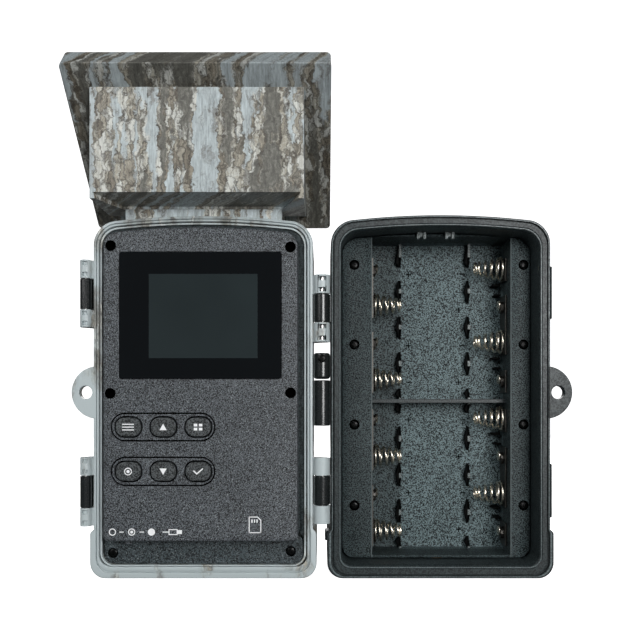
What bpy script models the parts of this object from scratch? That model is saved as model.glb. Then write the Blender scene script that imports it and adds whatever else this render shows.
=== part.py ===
"""Trail camera with a solar hood, opened like a book: front housing, control panel and battery case.

Lengths are in millimetres, and MM turns them into metres. X runs from the latches towards the
battery case, Y from the open side towards the lens side, and Z is up. The origin is the middle of
the front housing's flat base. A depth is measured from the parting plane, where the two halves meet,
into the housings.
"""
import math

import bmesh
import bpy
from mathutils import Matrix, Vector

MM = 0.001
GAP = 0.3
PARTING_Y = -23.0

# Both halves
HALF_WIDTH = 41.8
CROWN_RADIUS = 300.0
FLARE = 1.4
FLARE_TOP = 18.7
CORNER_STEPS = 4
RIM_SINK = 0.2
EDGE_ROUND = 4.0

# Front housing
FRONT_TOP = 138.1
FRONT_DEPTH = 46.0
FRONT_WALL = 2.5
LIP_HALF_WIDTH = 39.6
LIP_LOW = 4.6
LIP_HIGH = 135.9
LEDGE_DEPTH = 2.5
THROAT_DEPTH = 9.0

# Control panel
PANEL_HALF_WIDTH = 36.2
PANEL_LOW = 15.0
PANEL_HIGH = 133.5
PANEL_PROUD = 4.5
PANEL_BACK = 12.0
PANEL_WALL = 1.8
STRIP_HALF_WIDTH = 38.6
STRIP_LOW = 4.9
STRIP_HIGH = 16.5
STRIP_BACK = 4.2
WINDOW = (-30.8, 30.2, 75.7, 123.6)
DISPLAY = (-24.3, 25.8, 79.8, 119.2)
KEY_ROWS = ((52.2, 63.6), (35.5, 47.1))
KEY_ROW_LEFT = -34.2
KEY_ROW_RIGHT = 5.6
BUTTON_X = (-27.2, -14.1, -1.05)
BUTTON_SIZE = (9.5, 7.1)
BUTTON_RADIUS = 3.2
BUTTON_NAMES = (("menu", "up", "mode"), ("shot", "down", "ok"))
PANEL_SCREWS = ((-33.9, 125.8), (33.4, 125.3), (-34.1, 70.5), (33.5, 70.7))
STRIP_SCREWS = ((-34.8, 9.4), (33.3, 10.1))
SWITCH_X = -25.9
SWITCH_TRAVEL = 4.0
SWITCH_HALF = 5.5
USB_X = -9.7
USB_HALF = 3.8
CARD_X = 20.1
CARD_HALF = 12.1
SOCKET_FRONT_Z = 15.3
BOARD = (-33.0, 33.0, 17.6, 125.0)
BOARD_DEPTH = (1.6, 3.2)

# Lens side
LENS_Z = 80.0
FRONT_Y = PARTING_Y + FRONT_DEPTH
BEZEL = (-30.0, 30.0, 63.0, 128.0)
IR_WINDOW = (-25.5, 25.5, 96.0, 124.0)
LENS_RADIUS = 10.9
PIR_Z = 39.0
PIR_HALF_WIDTH = 17.0
PIR_HALF_HEIGHT = 12.0
PIR_BULGE = 6.0

# Hinge between the halves
HINGE_X = 45.2
HINGE_RADIUS = 3.1
HINGE_PIN_RADIUS = 1.2
HINGE_BORE_RADIUS = 1.5
LEAF_DEPTH = 8.0
FRONT_KNUCKLES = ((108.3, 115.4), (90.0, 97.3), (39.5, 46.2), (21.2, 28.1))
CASE_KNUCKLES = ((97.6, 108.0), (28.4, 39.2))
HINGE_SPANS = {
    "upper": (FRONT_KNUCKLES[1][0], FRONT_KNUCKLES[0][1]),
    "lower": (FRONT_KNUCKLES[3][0], FRONT_KNUCKLES[2][1]),
}
GUIDE_UPPER = (76.0, 85.9)
GUIDE_LOWER = (58.3, 75.5)

# Latches and ears
LATCH_X = -44.4
LATCH_RADIUS = 2.2
LATCH_PIN_RADIUS = 1.0
LATCH_BORE_RADIUS = 1.3
LATCHES = {"upper": (95.6, 102.3, 114.1, 121.1), "lower": (20.2, 27.1, 39.4, 46.4)}
LATCH_REACH = 15.5
EAR_Z = 70.9
EAR_HOLE_RADIUS = 2.5
EAR_RADIUS = 10.0
EAR_REACH = 50.1
EAR_THICKNESS = 4.0

# Battery case
CASE_X = 2 * HINGE_X
CASE_TOP = 138.5
CASE_DEPTH = 33.5
CASE_CAVITY = (37.5, 5.3, 134.0)
CASE_FLOOR = 31.2
TRIPOD_X = 91.0
TRIPOD_Y = -6.0
INSERT_RADIUS = 4.2
INSERT_BORE_RADIUS = 3.2
TRAY_TOP = 12.0
TRAY_BACK = 30.9
BAY_LEFT = 65.05
BAY_RIGHT = 119.8
BAY_FLOOR = 30.0
TRAY_SCREW_X = (58.05, 125.0)
TRAY_SCREW_Z = (121.5, 90.0, 58.3, 26.3)
HOOK_X = (84.3, 95.4)
RIB_X = (77.6, 106.1)
RIB_THICKNESS = 1.2
CELL_DEPTH = 22.0
CELL_RADIUS = 7.4
CELL_Z = (120.6, 105.7, 90.8, 75.5, 59.7, 44.3, 29.2, 13.9)
PARTITION_Z = 67.6
SPRING_LENGTH = 11.5
SPRING_TURNS = 4.5
CONTACT_THICKNESS = 0.5

# Solar hood
NECK_HALF_WIDTH = 29.9
NECK_REAR_Y = -21.6
NECK_FRONT_Y = 3.0
HOOD_HALF_WIDTH = 38.7
HOOD_REAR_Y = -38.0
HOOD_LOW = 140.8
HOOD_FLAT_END = -11.8
HOOD_TIP = (4.0, 144.2)
HOOD_HIGH = 181.0
HOOD_WALL = 2.0
HOOD_FLOOR = 145.0
FUNNEL_REAR = (38.0, 143.1)
FUNNEL_FRONT = (30.4, 141.9)
LEAD_HOLE_Y = -4.0
LEAD_HOLE_RADIUS = 3.0
PLATE_TILT = 42.7
PLATE_TOP_EDGE = (-42.7, 187.7)
PLATE_LENGTH = 70.2
PLATE_HALF_WIDTH = 48.6
PLATE_THICKNESS = 9.0
PANEL_MARGIN = 3.0
PANEL_THICKNESS = 1.2
POCKET_MARGIN = 6.0
POCKET_FLOOR = 2.0
CELL_18650_RADIUS = 9.2
CELL_18650_LENGTH = 65.0

parts = bpy.data.collections.new("trail_camera")
cutters = bpy.data.collections.new("cutters")


def depth(value):
    """Y of a depth below the parting plane."""
    return PARTING_Y + value


def clear_scene():
    for item in list(bpy.data.objects):
        bpy.data.objects.remove(item, do_unlink=True)
    bpy.context.scene.collection.children.link(parts)
    bpy.context.scene.collection.children.link(cutters)


def make_material(name, color, roughness, metallic=0.0):
    material = bpy.data.materials.new(name)
    material.use_nodes = True
    shader = material.node_tree.nodes["Principled BSDF"]
    shader.inputs["Base Color"].default_value = (*color, 1.0)
    shader.inputs["Roughness"].default_value = roughness
    shader.inputs["Metallic"].default_value = metallic
    return material


# Outlines

def arc(centre, radius, start, end, steps):
    """Points along a circular arc between two angles in degrees."""
    points = []
    for step in range(steps + 1):
        angle = math.radians(start + (end - start) * step / steps)
        points.append((centre[0] + radius * math.cos(angle), centre[1] + radius * math.sin(angle)))
    return points


def rectangle(left, right, low, high, radius=0.0, steps=3):
    """Outline of a rectangle, with round corners where a radius is given."""
    if not radius:
        return [(right, high), (left, high), (left, low), (right, low)]
    outline = arc((right - radius, high - radius), radius, 0, 90, steps)
    outline += arc((left + radius, high - radius), radius, 90, 180, steps)
    outline += arc((left + radius, low + radius), radius, 180, 270, steps)
    outline += arc((right - radius, low + radius), radius, 270, 360, steps)
    return outline


def grown(box, margin):
    """A left, right, low, high box with a margin added on every side."""
    return (box[0] - margin, box[1] + margin, box[2] - margin, box[3] + margin)


def housing_outline(middle, half_width, low, high, low_radius, high_radius, flare=0.0):
    """Outline of a housing: round corners, a shallow crown on top and a foot that may stand wider."""
    foot = half_width + flare
    half = arc((foot - low_radius, low + low_radius), low_radius, 270, 360, CORNER_STEPS)
    if flare:
        half += [(foot, FLARE_TOP - flare), (half_width, FLARE_TOP)]
    shoulder = half_width - high_radius
    half += arc((shoulder, high - high_radius), high_radius, 0, 90, CORNER_STEPS)
    half += [(shoulder * 2 / 3, high), (shoulder / 3, high)]
    centre = (low + high) / 2
    half = [(x, z - x * x / (2 * CROWN_RADIUS) if z > centre else z) for x, z in half]
    other = [(-x, z) for x, z in reversed(half)]
    return [(middle + x, z) for x, z in half + [(0.0, high)] + other]


# Meshes

def tidy(outline):
    """The outline without points that lie on the one before."""
    kept = []
    for point in outline:
        if not kept or math.dist(point, kept[-1]) > 0.01:
            kept.append(point)
    if math.dist(kept[0], kept[-1]) <= 0.01:
        kept.pop()
    return kept


SWEEP = {
    "X": Matrix(((0, 0, 1, 0), (1, 0, 0, 0), (0, 1, 0, 0), (0, 0, 0, 1))),
    "Y": Matrix(((1, 0, 0, 0), (0, 0, -1, 0), (0, 1, 0, 0), (0, 0, 0, 1))),
    "Z": Matrix.Identity(4),
}
AXIS_INDEX = {"X": 0, "Y": 1, "Z": 2}


def mesh_of_curve(curve, matrix):
    """A closed mesh of a filled curve: its caps are welded to its sides."""
    carrier = bpy.data.objects.new("carrier", curve)
    mesh = bpy.data.meshes.new_from_object(carrier)
    mesh.transform(matrix)
    bpy.data.objects.remove(carrier)
    shape = bmesh.new()
    shape.from_mesh(mesh)
    bmesh.ops.remove_doubles(shape, verts=shape.verts, dist=0.00001)
    bmesh.ops.recalc_face_normals(shape, faces=shape.faces)
    shape.to_mesh(mesh)
    shape.free()
    mesh.materials.clear()
    return mesh


def prism(outline, low, high, axis="Y"):
    """An outline swept along one axis; its two coordinates are the other axes in order."""
    curve = bpy.data.curves.new("outline", "CURVE")
    curve.dimensions = "2D"
    curve.fill_mode = "BOTH"
    curve.extrude = (high - low) * MM / 2
    outline = tidy(outline)
    spline = curve.splines.new("POLY")
    spline.points.add(len(outline) - 1)
    for point, (u, v) in zip(spline.points, outline):
        point.co = (u * MM, v * MM, 0, 1)
    spline.use_cyclic_u = True
    middle = Vector((0, 0, 0))
    middle[AXIS_INDEX[axis]] = (low + high) * MM / 2
    return mesh_of_curve(curve, Matrix.Translation(middle) @ SWEEP[axis])


def block(x, y, z):
    """A box between three pairs of limits."""
    return prism(rectangle(*x, *y), *z, axis="Z")


def rod(centre, radius, low, high, axis="Z", steps=16):
    """A round bar along one axis, through a centre given by the other two."""
    return prism(arc(centre, radius, 0, 360, steps), low, high, axis)


def round_face(mesh, axis, value, offset, segments=2):
    """Rounds every edge that lies in one plane."""
    index = AXIS_INDEX[axis]
    shape = bmesh.new()
    shape.from_mesh(mesh)
    flat = [face for face in shape.faces if abs(face.normal[index]) > 0.99]
    bmesh.ops.dissolve_faces(
        shape, faces=[face for face in flat if abs(face.calc_center_median()[index] - value * MM) < 1e-5])
    edges = [edge for edge in shape.edges
             if all(abs(vert.co[index] - value * MM) < 1e-5 for vert in edge.verts)]
    bmesh.ops.bevel(
        shape, geom=edges, offset=offset * MM, segments=segments, profile=0.5, affect="EDGES",
        clamp_overlap=True)
    shape.to_mesh(mesh)
    shape.free()
    return mesh


def turned(profile, centre, steps=24):
    """A closed profile of radius and Y turned about a line along Y; it may start and end on the line."""
    shape = bmesh.new()
    points = [shape.verts.new((radius * MM, y * MM, 0)) for radius, y in profile]
    edges = [shape.edges.new(pair) for pair in zip(points, points[1:])]
    if profile[0][0] > 0:
        edges.append(shape.edges.new((points[-1], points[0])))
    bmesh.ops.spin(
        shape, geom=points + edges, cent=(0, 0, 0), axis=(0, 1, 0), angle=2 * math.pi, steps=steps,
        use_merge=True)
    bmesh.ops.remove_doubles(shape, verts=shape.verts, dist=0.00001)
    bmesh.ops.recalc_face_normals(shape, faces=shape.faces)
    mesh = bpy.data.meshes.new("turned")
    shape.to_mesh(mesh)
    shape.free()
    mesh.transform(Matrix.Translation(Vector((centre[0], 0, centre[1])) * MM))
    return mesh


# Objects

def place(name, mesh, collection, origin, parent=None):
    """Puts a world-coordinate mesh in the scene with its origin at a chosen point."""
    mesh.transform(Matrix.Translation(-Vector(origin) * MM))
    item = bpy.data.objects.new(name, mesh)
    item.location = Vector(origin) * MM
    collection.objects.link(item)
    if parent:
        item.parent = parent
        item.matrix_parent_inverse = Matrix.Translation(parent.location).inverted()
    return item


def add_part(name, mesh, material, steps=(), parent=None, origin=(0, 0, 0)):
    """One sub-part; each step is a Boolean operation with a list of meshes that it takes."""
    part = place(name, mesh, parts, origin, parent)
    part.data.materials.append(material)
    for number, (operation, tools) in enumerate(steps):
        group = bpy.data.collections.new(f"{name}_{operation.lower()}_{number}")
        cutters.children.link(group)
        for tool in tools:
            item = place(f"{name}_tool", tool, group, origin, parent)
            item.hide_render = True
            item.display_type = "WIRE"
        boolean = part.modifiers.new(operation.title(), "BOOLEAN")
        boolean.operation = operation
        boolean.operand_type = "COLLECTION"
        boolean.collection = group
        boolean.solver = "EXACT"
    part.data.shade_smooth()
    part.data.set_sharp_from_angle(angle=math.radians(30))
    return part


def add_axis(name, location):
    """An empty on a joint's axis, to carry the parts that turn about it."""
    axis = bpy.data.objects.new(name, None)
    axis.location = Vector(location) * MM
    parts.objects.link(axis)
    return axis


# Front housing

def knuckle(side, low, high):
    """A hinge barrel and the leaf that ties it to the wall on one side of the hinge axis."""
    wall = HINGE_X + side * 5.0
    leaf = [
        (HINGE_X, depth(0)), (HINGE_X + side * 1.5, depth(-1.5)), (HINGE_X + side * 3.1, depth(0.3)),
        (wall, depth(0.6)), (wall, depth(LEAF_DEPTH)), (HINGE_X + side * 3.0, depth(LEAF_DEPTH - 2)),
        (HINGE_X - side * 1.5, depth(2.2)),
    ]
    return [
        rod((HINGE_X, PARTING_Y), HINGE_RADIUS, low, high),
        prism(leaf, low, high, "Z"),
    ]


def latch_ear(low, high):
    """An ear beside a latch, with its round end on the latch pin."""
    wall = -HALF_WIDTH + 1.0
    web = [
        (wall, depth(0.6)), (LATCH_X, depth(-1.6)), (LATCH_X - 1.6, depth(0)),
        (LATCH_X - 1.2, depth(1.5)), (wall, depth(LEAF_DEPTH)),
    ]
    return [rod((LATCH_X, PARTING_Y), LATCH_RADIUS, low, high), prism(web, low, high, "Z")]


def strap_ear(middle, side):
    """A round padlock ear on the outer edge of a half."""
    reach = side * (EAR_REACH - EAR_RADIUS)
    outline = arc((middle + reach, EAR_Z), EAR_RADIUS, 0, 360, 24)
    return prism(outline, depth(RIM_SINK), depth(EAR_THICKNESS))


def panel_footprint(margin):
    """Outlines of the control panel seen from the open side: its block and the strip below."""
    high = housing_outline(
        0, PANEL_HALF_WIDTH + margin, STRIP_LOW - margin, PANEL_HIGH + margin, 3.0, 5.0)
    strip = rectangle(
        -STRIP_HALF_WIDTH - margin, STRIP_HALF_WIDTH + margin, STRIP_LOW - margin, STRIP_HIGH + margin, 3.0)
    return high, strip


def lead_hole(low, high):
    """The hole for the leads between the hood and the front housing."""
    return rod((0, LEAD_HOLE_Y), LEAD_HOLE_RADIUS, low, high)


def front_housing(material):
    shell = prism(
        housing_outline(0, HALF_WIDTH, 0, FRONT_TOP, 6, 8, FLARE), depth(RIM_SINK), FRONT_Y)
    round_face(shell, "Y", FRONT_Y, EDGE_ROUND, 3)
    joined = [strap_ear(0, -1)]
    for low, high in FRONT_KNUCKLES:
        joined += knuckle(-1, low, high)
    bores = []
    for ear in LATCHES.values():
        joined += latch_ear(ear[0], ear[1]) + latch_ear(ear[2], ear[3])
        bores.append(rod((LATCH_X, PARTING_Y), LATCH_BORE_RADIUS, ear[0] - 1, ear[3] + 1))
    for low, high in HINGE_SPANS.values():
        bores.append(rod((HINGE_X, PARTING_Y), HINGE_BORE_RADIUS, low - 1, high + 1))
    bores.append(rod((-EAR_REACH + 5.4, EAR_Z), EAR_HOLE_RADIUS, depth(-1), depth(6), "Y"))
    hollow = HALF_WIDTH - FRONT_WALL
    block_throat, strip_throat = panel_footprint(GAP)
    cuts = [
        prism(housing_outline(0, LIP_HALF_WIDTH, LIP_LOW, LIP_HIGH, 5, 6.5), depth(-1), depth(LEDGE_DEPTH)),
        prism(block_throat, depth(2), depth(THROAT_DEPTH + 0.5)),
        prism(strip_throat, depth(2), depth(THROAT_DEPTH + 0.5)),
        prism(housing_outline(0, hollow, FRONT_WALL, FRONT_TOP - FRONT_WALL, 4, 5.5),
              depth(THROAT_DEPTH), FRONT_Y - FRONT_WALL),
        prism(rectangle(*grown(BEZEL, GAP), 5), FRONT_Y - 1, FRONT_Y + 1),
        prism(rectangle(*grown(BEZEL, -3), 3), FRONT_Y - 4, FRONT_Y),
        prism(rectangle(-PIR_HALF_WIDTH - GAP, PIR_HALF_WIDTH + GAP, PIR_Z - PIR_HALF_HEIGHT - GAP,
                        PIR_Z + PIR_HALF_HEIGHT + GAP), FRONT_Y - 4, FRONT_Y + 1),
        lead_hole(LIP_HIGH - 4, FRONT_TOP + 1),
    ]
    add_part("front_shell", shell, material, [("UNION", joined), ("DIFFERENCE", cuts + bores)])


def seal_gasket(material):
    ring = prism(housing_outline(0, LIP_HALF_WIDTH - GAP, LIP_LOW + GAP, LIP_HIGH - GAP, 4.7, 6.2),
                 depth(0.9), depth(LEDGE_DEPTH - GAP))
    hole = prism(housing_outline(0, PANEL_HALF_WIDTH + GAP, STRIP_LOW + 2, PANEL_HIGH + GAP, 3, 6),
                 depth(0), depth(4))
    add_part("seal_gasket", ring, material, [("DIFFERENCE", [hole])])


# Control panel

def button_centres():
    for row, names in zip(KEY_ROWS, BUTTON_NAMES):
        for x, name in zip(BUTTON_X, names):
            yield name, x, (row[0] + row[1]) / 2


def button_outline(x, z, margin=0.0):
    width, height = BUTTON_SIZE[0] / 2 + margin, BUTTON_SIZE[1] / 2 + margin
    return rectangle(x - width, x + width, z - height, z + height, BUTTON_RADIUS + margin)


def key_row_outline(low, high, margin):
    radius = (high - low) / 2 - margin
    return rectangle(
        KEY_ROW_LEFT + margin, KEY_ROW_RIGHT - margin, low + margin, high - margin, radius - 0.01, 5)


def control_panel(material):
    face = depth(-PANEL_PROUD)
    outer = housing_outline(0, PANEL_HALF_WIDTH, PANEL_LOW, PANEL_HIGH, 2.0, 5.0)
    inner = housing_outline(
        0, PANEL_HALF_WIDTH - PANEL_WALL, PANEL_LOW + PANEL_WALL, PANEL_HIGH - PANEL_WALL, 2.0, 4.0)
    panel = prism(outer, face, depth(PANEL_BACK))
    round_face(panel, "Y", face, 0.8)
    strip = prism(rectangle(-STRIP_HALF_WIDTH, STRIP_HALF_WIDTH, STRIP_LOW, STRIP_HIGH, 3.0),
                  depth(LEDGE_DEPTH), depth(STRIP_BACK))
    wall = (PANEL_LOW - 1, PANEL_LOW + PANEL_WALL + 1)
    cuts = [
        prism(inner, depth(PANEL_WALL - PANEL_PROUD), depth(PANEL_BACK + 1)),
        prism(rectangle(*WINDOW, 1.0), depth(-6), depth(-3)),
        prism(rectangle(*grown(DISPLAY, 1.2)), depth(-4), depth(-2)),
        block((SWITCH_X - 3.7, SWITCH_X + 3.7), (depth(-1.9), depth(0.5)), wall),
        block((USB_X - USB_HALF - GAP, USB_X + USB_HALF + GAP), (depth(-2.3), depth(1.3)), wall),
        block((CARD_X - CARD_HALF - GAP, CARD_X + CARD_HALF + GAP), (depth(-1.8), depth(1.3)), wall),
    ]
    cuts += [prism(button_outline(x, z, GAP), depth(-6), depth(-2)) for _, x, z in button_centres()]
    cuts += [rod(spot, 2.1, depth(-6), depth(-3.4), "Y") for spot in PANEL_SCREWS]
    cuts += [rod(spot, 1.9, depth(0), depth(6), "Y") for spot in STRIP_SCREWS]
    fields = [prism(key_row_outline(*row, 0.4), depth(-6), depth(0.3 - PANEL_PROUD)) for row in KEY_ROWS]
    add_part("control_panel", panel, material, [("UNION", [strip]), ("DIFFERENCE", cuts + fields)])


def keypad(material):
    for name, x, z in button_centres():
        cap = prism(button_outline(x, z), depth(-5.2), depth(-1.6))
        round_face(cap, "Y", depth(-5.2), 0.5, 1)
        flange = prism(button_outline(x, z, 0.9), depth(-2.4), depth(-1.4))
        add_part(f"button_{name}", cap, material, [("UNION", [flange])], origin=(x, depth(-3), z))


def screen(window_material, display_material):
    window = prism(rectangle(*grown(WINDOW, -GAP), 0.8), depth(-PANEL_PROUD), depth(-3.3))
    add_part("screen_window", window, window_material)
    display = prism(rectangle(*DISPLAY), depth(-2.9), depth(-0.3))
    add_part("lcd_module", display, display_material)


def electronics(board_material, metal, plastic):
    left, right, low, high = BOARD
    board = block((left, right), (depth(BOARD_DEPTH[0]), depth(BOARD_DEPTH[1])), (low, high))
    back = depth(BOARD_DEPTH[1] - 0.2)
    chips = [
        block((-12, 4), (back, back + 1.6), (92, 108)),
        block((10, 22), (back, back + 1.4), (60, 70)),
        block((-26, -14), (back, back + 3.0), (112, 122)),
    ]
    for _, x, z in button_centres():
        chips.append(block((x - 3, x + 3), (depth(-0.3), depth(BOARD_DEPTH[0] + 0.4)), (z - 3, z + 3)))
    add_part("main_board", board, board_material, [("UNION", chips)])
    body = block((SWITCH_X - SWITCH_HALF, SWITCH_X + SWITCH_HALF), (depth(-2.4), depth(1.3)), (17.1, 22.0))
    add_part("power_switch_body", body, metal)
    knob_x = SWITCH_X - SWITCH_TRAVEL / 2
    knob = block((knob_x - 1.2, knob_x + 1.2), (depth(-1.6), depth(0.2)), (13.6, 16.8))
    add_part("power_switch_slider", knob, plastic, origin=(knob_x, depth(-0.7), 15.2))
    for name, middle, half, front, back, length, wall in (
            ("usb_socket", USB_X, USB_HALF, -2.0, 1.0, 6.2, 0.5),
            ("card_socket", CARD_X, CARD_HALF, -1.5, 1.0, 24.7, 0.4)):
        far = SOCKET_FRONT_Z + length
        box = (middle - half, middle + half, depth(front), depth(back))
        shell = prism(rectangle(*box), SOCKET_FRONT_Z, far, "Z")
        mouth = prism(rectangle(*grown(box, -wall)), SOCKET_FRONT_Z - 1, far - 1, "Z")
        add_part(name, shell, metal, [("DIFFERENCE", [mouth])])


# Lens side

def lens_side(bezel_material, dark, glass, metal, board_material, white):
    bezel = prism(rectangle(*BEZEL, 5), FRONT_Y - 0.7, FRONT_Y + 1.3)
    round_face(bezel, "Y", FRONT_Y + 1.3, 0.8, 1)
    holes = [
        prism(rectangle(*IR_WINDOW, 3), FRONT_Y - 3, FRONT_Y + 3),
        rod((0, LENS_Z), LENS_RADIUS + GAP, FRONT_Y - 3, FRONT_Y + 3, "Y", 24),
    ]
    add_part("front_bezel", bezel, bezel_material, [("DIFFERENCE", holes)])
    add_part("ir_window", prism(rectangle(*grown(IR_WINDOW, -GAP), 2.7), FRONT_Y - 0.5, FRONT_Y + 0.8), dark)
    board = prism(rectangle(*grown(IR_WINDOW, 0.5), 2), 13.0, 14.4)
    lamps = []
    for column in range(7):
        for row in range(4):
            spot = (-21 + 7 * column, IR_WINDOW[2] + 4.4 + 6.4 * row)
            lamps.append(rod(spot, 1.6, 14.0, 17.6, "Y", 8))
    add_part("ir_led_board", board, board_material, [("UNION", lamps)])
    barrel = [
        (LENS_RADIUS, 5.0), (LENS_RADIUS, 24.9), (10.2, 25.6), (8.6, 25.6), (7.4, 22.6), (6.6, 22.6),
        (6.6, 5.0)]
    add_part("lens_barrel", turned(barrel, (0, LENS_Z)), bezel_material)
    crown = [(0, 19.0), (6.3, 19.0), (6.3, 21.4), (4.8, 22.0), (2.6, 22.3), (0, 22.4)]
    add_part("lens_glass", turned(crown, (0, LENS_Z)), glass)
    sensor = prism(rectangle(-12, 12, LENS_Z - 12, LENS_Z + 12, 1), 0.6, 2.0)
    chip = block((-5, 5), (1.5, 3.6), (LENS_Z - 5, LENS_Z + 5))
    add_part("image_sensor", sensor, board_material, [("UNION", [chip])])
    add_pir(white, metal)


def dome_outline(half_width, start, bulge):
    """A flat-backed arch in plan, bulging towards the front."""
    radius = (half_width ** 2 + bulge ** 2) / (2 * bulge)
    half_angle = math.degrees(math.asin(half_width / radius))
    return arc((0, start + bulge - radius), radius, 90 - half_angle, 90 + half_angle, 10)


def add_pir(white, metal):
    low, high = PIR_Z - PIR_HALF_HEIGHT, PIR_Z + PIR_HALF_HEIGHT
    start = FRONT_Y - 2.9
    outer = dome_outline(PIR_HALF_WIDTH, FRONT_Y, PIR_BULGE)
    outer += [(-PIR_HALF_WIDTH, start), (PIR_HALF_WIDTH, start)]
    inner_width = PIR_HALF_WIDTH - 1.0
    inner = dome_outline(inner_width, FRONT_Y - 1, PIR_BULGE - 0.2)
    inner += [(-inner_width, start - 3), (inner_width, start - 3)]
    dome = prism(outer, low, high, "Z")
    foot = rectangle(-PIR_HALF_WIDTH - 2, PIR_HALF_WIDTH + 2, low - 2, high + 2, 1.5)
    flange = prism(foot, start - 1.2, start + 0.1)
    add_part("pir_lens", dome, white, [
        ("UNION", [flange]),
        ("DIFFERENCE", [prism(inner, low + 1, high - 1, "Z")]),
    ])
    can = [(0, 6.0), (4.7, 6.0), (4.7, 7.0), (4.1, 7.0), (4.1, 11.0), (0, 11.0)]
    add_part("pir_sensor", turned(can, (0, PIR_Z), 16), metal)


# Hinge, latches and ears

def hinges(pin_material, guide_material, case_axis):
    for name, (low, high) in HINGE_SPANS.items():
        pin = rod((HINGE_X, PARTING_Y), HINGE_PIN_RADIUS, low + GAP, high - GAP, steps=12)
        add_part(f"hinge_pin_{name}", pin, pin_material)
    guides = (("upper", -1, GUIDE_UPPER, None), ("lower", 1, GUIDE_LOWER, case_axis))
    for name, side, (low, high), parent in guides:
        barrel, leaf = cable_guide(side, low, high)
        bore = rod((HINGE_X, PARTING_Y), 1.8, low - 1, high + 1, steps=12)
        origin = (HINGE_X, PARTING_Y, (low + high) / 2)
        add_part(f"cable_guide_{name}", barrel, guide_material,
                 [("UNION", [leaf]), ("DIFFERENCE", [bore])], parent, origin)


def cable_guide(side, low, high):
    """The hollow barrel that carries the battery leads past the hinge, with its foot on one half."""
    foot = HINGE_X + side * (HINGE_X - HALF_WIDTH - GAP)
    leaf = [
        (HINGE_X + side * 1.0, depth(1.0)), (foot, depth(1.0)), (foot, depth(LEAF_DEPTH)),
        (HINGE_X - side * 0.5, depth(4.0)), (HINGE_X - side * 1.5, depth(2.0)),
    ]
    return rod((HINGE_X, PARTING_Y), HINGE_RADIUS, low, high), prism(leaf, low, high, "Z")


def latches(latch_material, pin_material):
    for name, ear in LATCHES.items():
        low, high = ear[1] + GAP, ear[2] - GAP
        arm = [
            (LATCH_X - 0.1, depth(0)), (LATCH_X + 1.9, depth(0)), (LATCH_X + 1.9, depth(LATCH_REACH)),
            (LATCH_X - 2.0, depth(LATCH_REACH)), (LATCH_X - 2.0, depth(LATCH_REACH - 2.2)),
            (LATCH_X - 0.1, depth(LATCH_REACH - 2.2)),
        ]
        add_part(f"latch_{name}", rod((LATCH_X, PARTING_Y), LATCH_RADIUS, low, high), latch_material, [
            ("UNION", [prism(arm, low, high, "Z")]),
            ("DIFFERENCE", [rod((LATCH_X, PARTING_Y), LATCH_BORE_RADIUS, low - 1, high + 1)]),
        ], origin=(LATCH_X, PARTING_Y, (low + high) / 2))
        pin = rod((LATCH_X, PARTING_Y), LATCH_PIN_RADIUS, ear[0] + GAP, ear[3] - GAP, steps=12)
        add_part(f"latch_pin_{name}", pin, pin_material)


# Battery case

def battery_case(case_material, brass, axis):
    half, low, high = CASE_CAVITY
    case = prism(
        housing_outline(CASE_X, HALF_WIDTH, 0, CASE_TOP, 6, 8, FLARE), depth(RIM_SINK), depth(CASE_DEPTH))
    round_face(case, "Y", depth(CASE_DEPTH), EDGE_ROUND, 3)
    joined = [strap_ear(CASE_X, 1)]
    for knuckle_low, knuckle_high in CASE_KNUCKLES:
        joined += knuckle(1, knuckle_low, knuckle_high)
    edge = CASE_X + HALF_WIDTH
    for lug_low, lug_high in ((99.0, 119.0), (23.2, 43.6)):
        joined.append(block((edge - 1, edge + 2.1), (depth(9), depth(12.6)), (lug_low, lug_high)))
    joined.append(block((46.3, 50), (depth(4), depth(9)), (14.1, 17.9)))
    cuts = [
        prism(housing_outline(CASE_X, half, low, high, 5, 6), depth(-1), depth(CASE_FLOOR)),
        rod((TRIPOD_X, TRIPOD_Y), INSERT_RADIUS + GAP, -1, low + 2, steps=24),
        rod((2 * HINGE_X + EAR_REACH - 5.4, EAR_Z), EAR_HOLE_RADIUS, depth(-1), depth(6), "Y"),
    ]
    for knuckle_low, knuckle_high in CASE_KNUCKLES:
        cuts.append(rod((HINGE_X, PARTING_Y), HINGE_BORE_RADIUS, knuckle_low - 1, knuckle_high + 1))
    origin = (HINGE_X, PARTING_Y, 0)
    add_part("battery_case", case, case_material, [("UNION", joined), ("DIFFERENCE", cuts)], axis, origin)
    insert = rod((TRIPOD_X, TRIPOD_Y), INSERT_RADIUS, 0.1, low - 0.1, steps=24)
    thread = rod((TRIPOD_X, TRIPOD_Y), INSERT_BORE_RADIUS, -1, low + 2, steps=24)
    add_part("tripod_insert", insert, brass, [("DIFFERENCE", [thread])], axis, (TRIPOD_X, TRIPOD_Y, 0))


def rib_outline():
    """Comb of cradles in depth and height: a cusp between cells, a round valley under each."""
    floor = depth(BAY_FLOOR + 0.5)
    outline = []
    for z in CELL_Z:
        cradle = arc((depth(CELL_DEPTH), z), CELL_RADIUS, 80, -80, 6)
        outline += [(min(y, depth(BAY_FLOOR - 0.5)), height) for y, height in cradle]
    return [(floor, CELL_Z[0] + 9.5), (depth(CELL_DEPTH), CELL_Z[0] + 9.0)] + outline + [
        (depth(CELL_DEPTH), CELL_Z[-1] - 7.9), (floor, CELL_Z[-1] - 7.9)]


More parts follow.
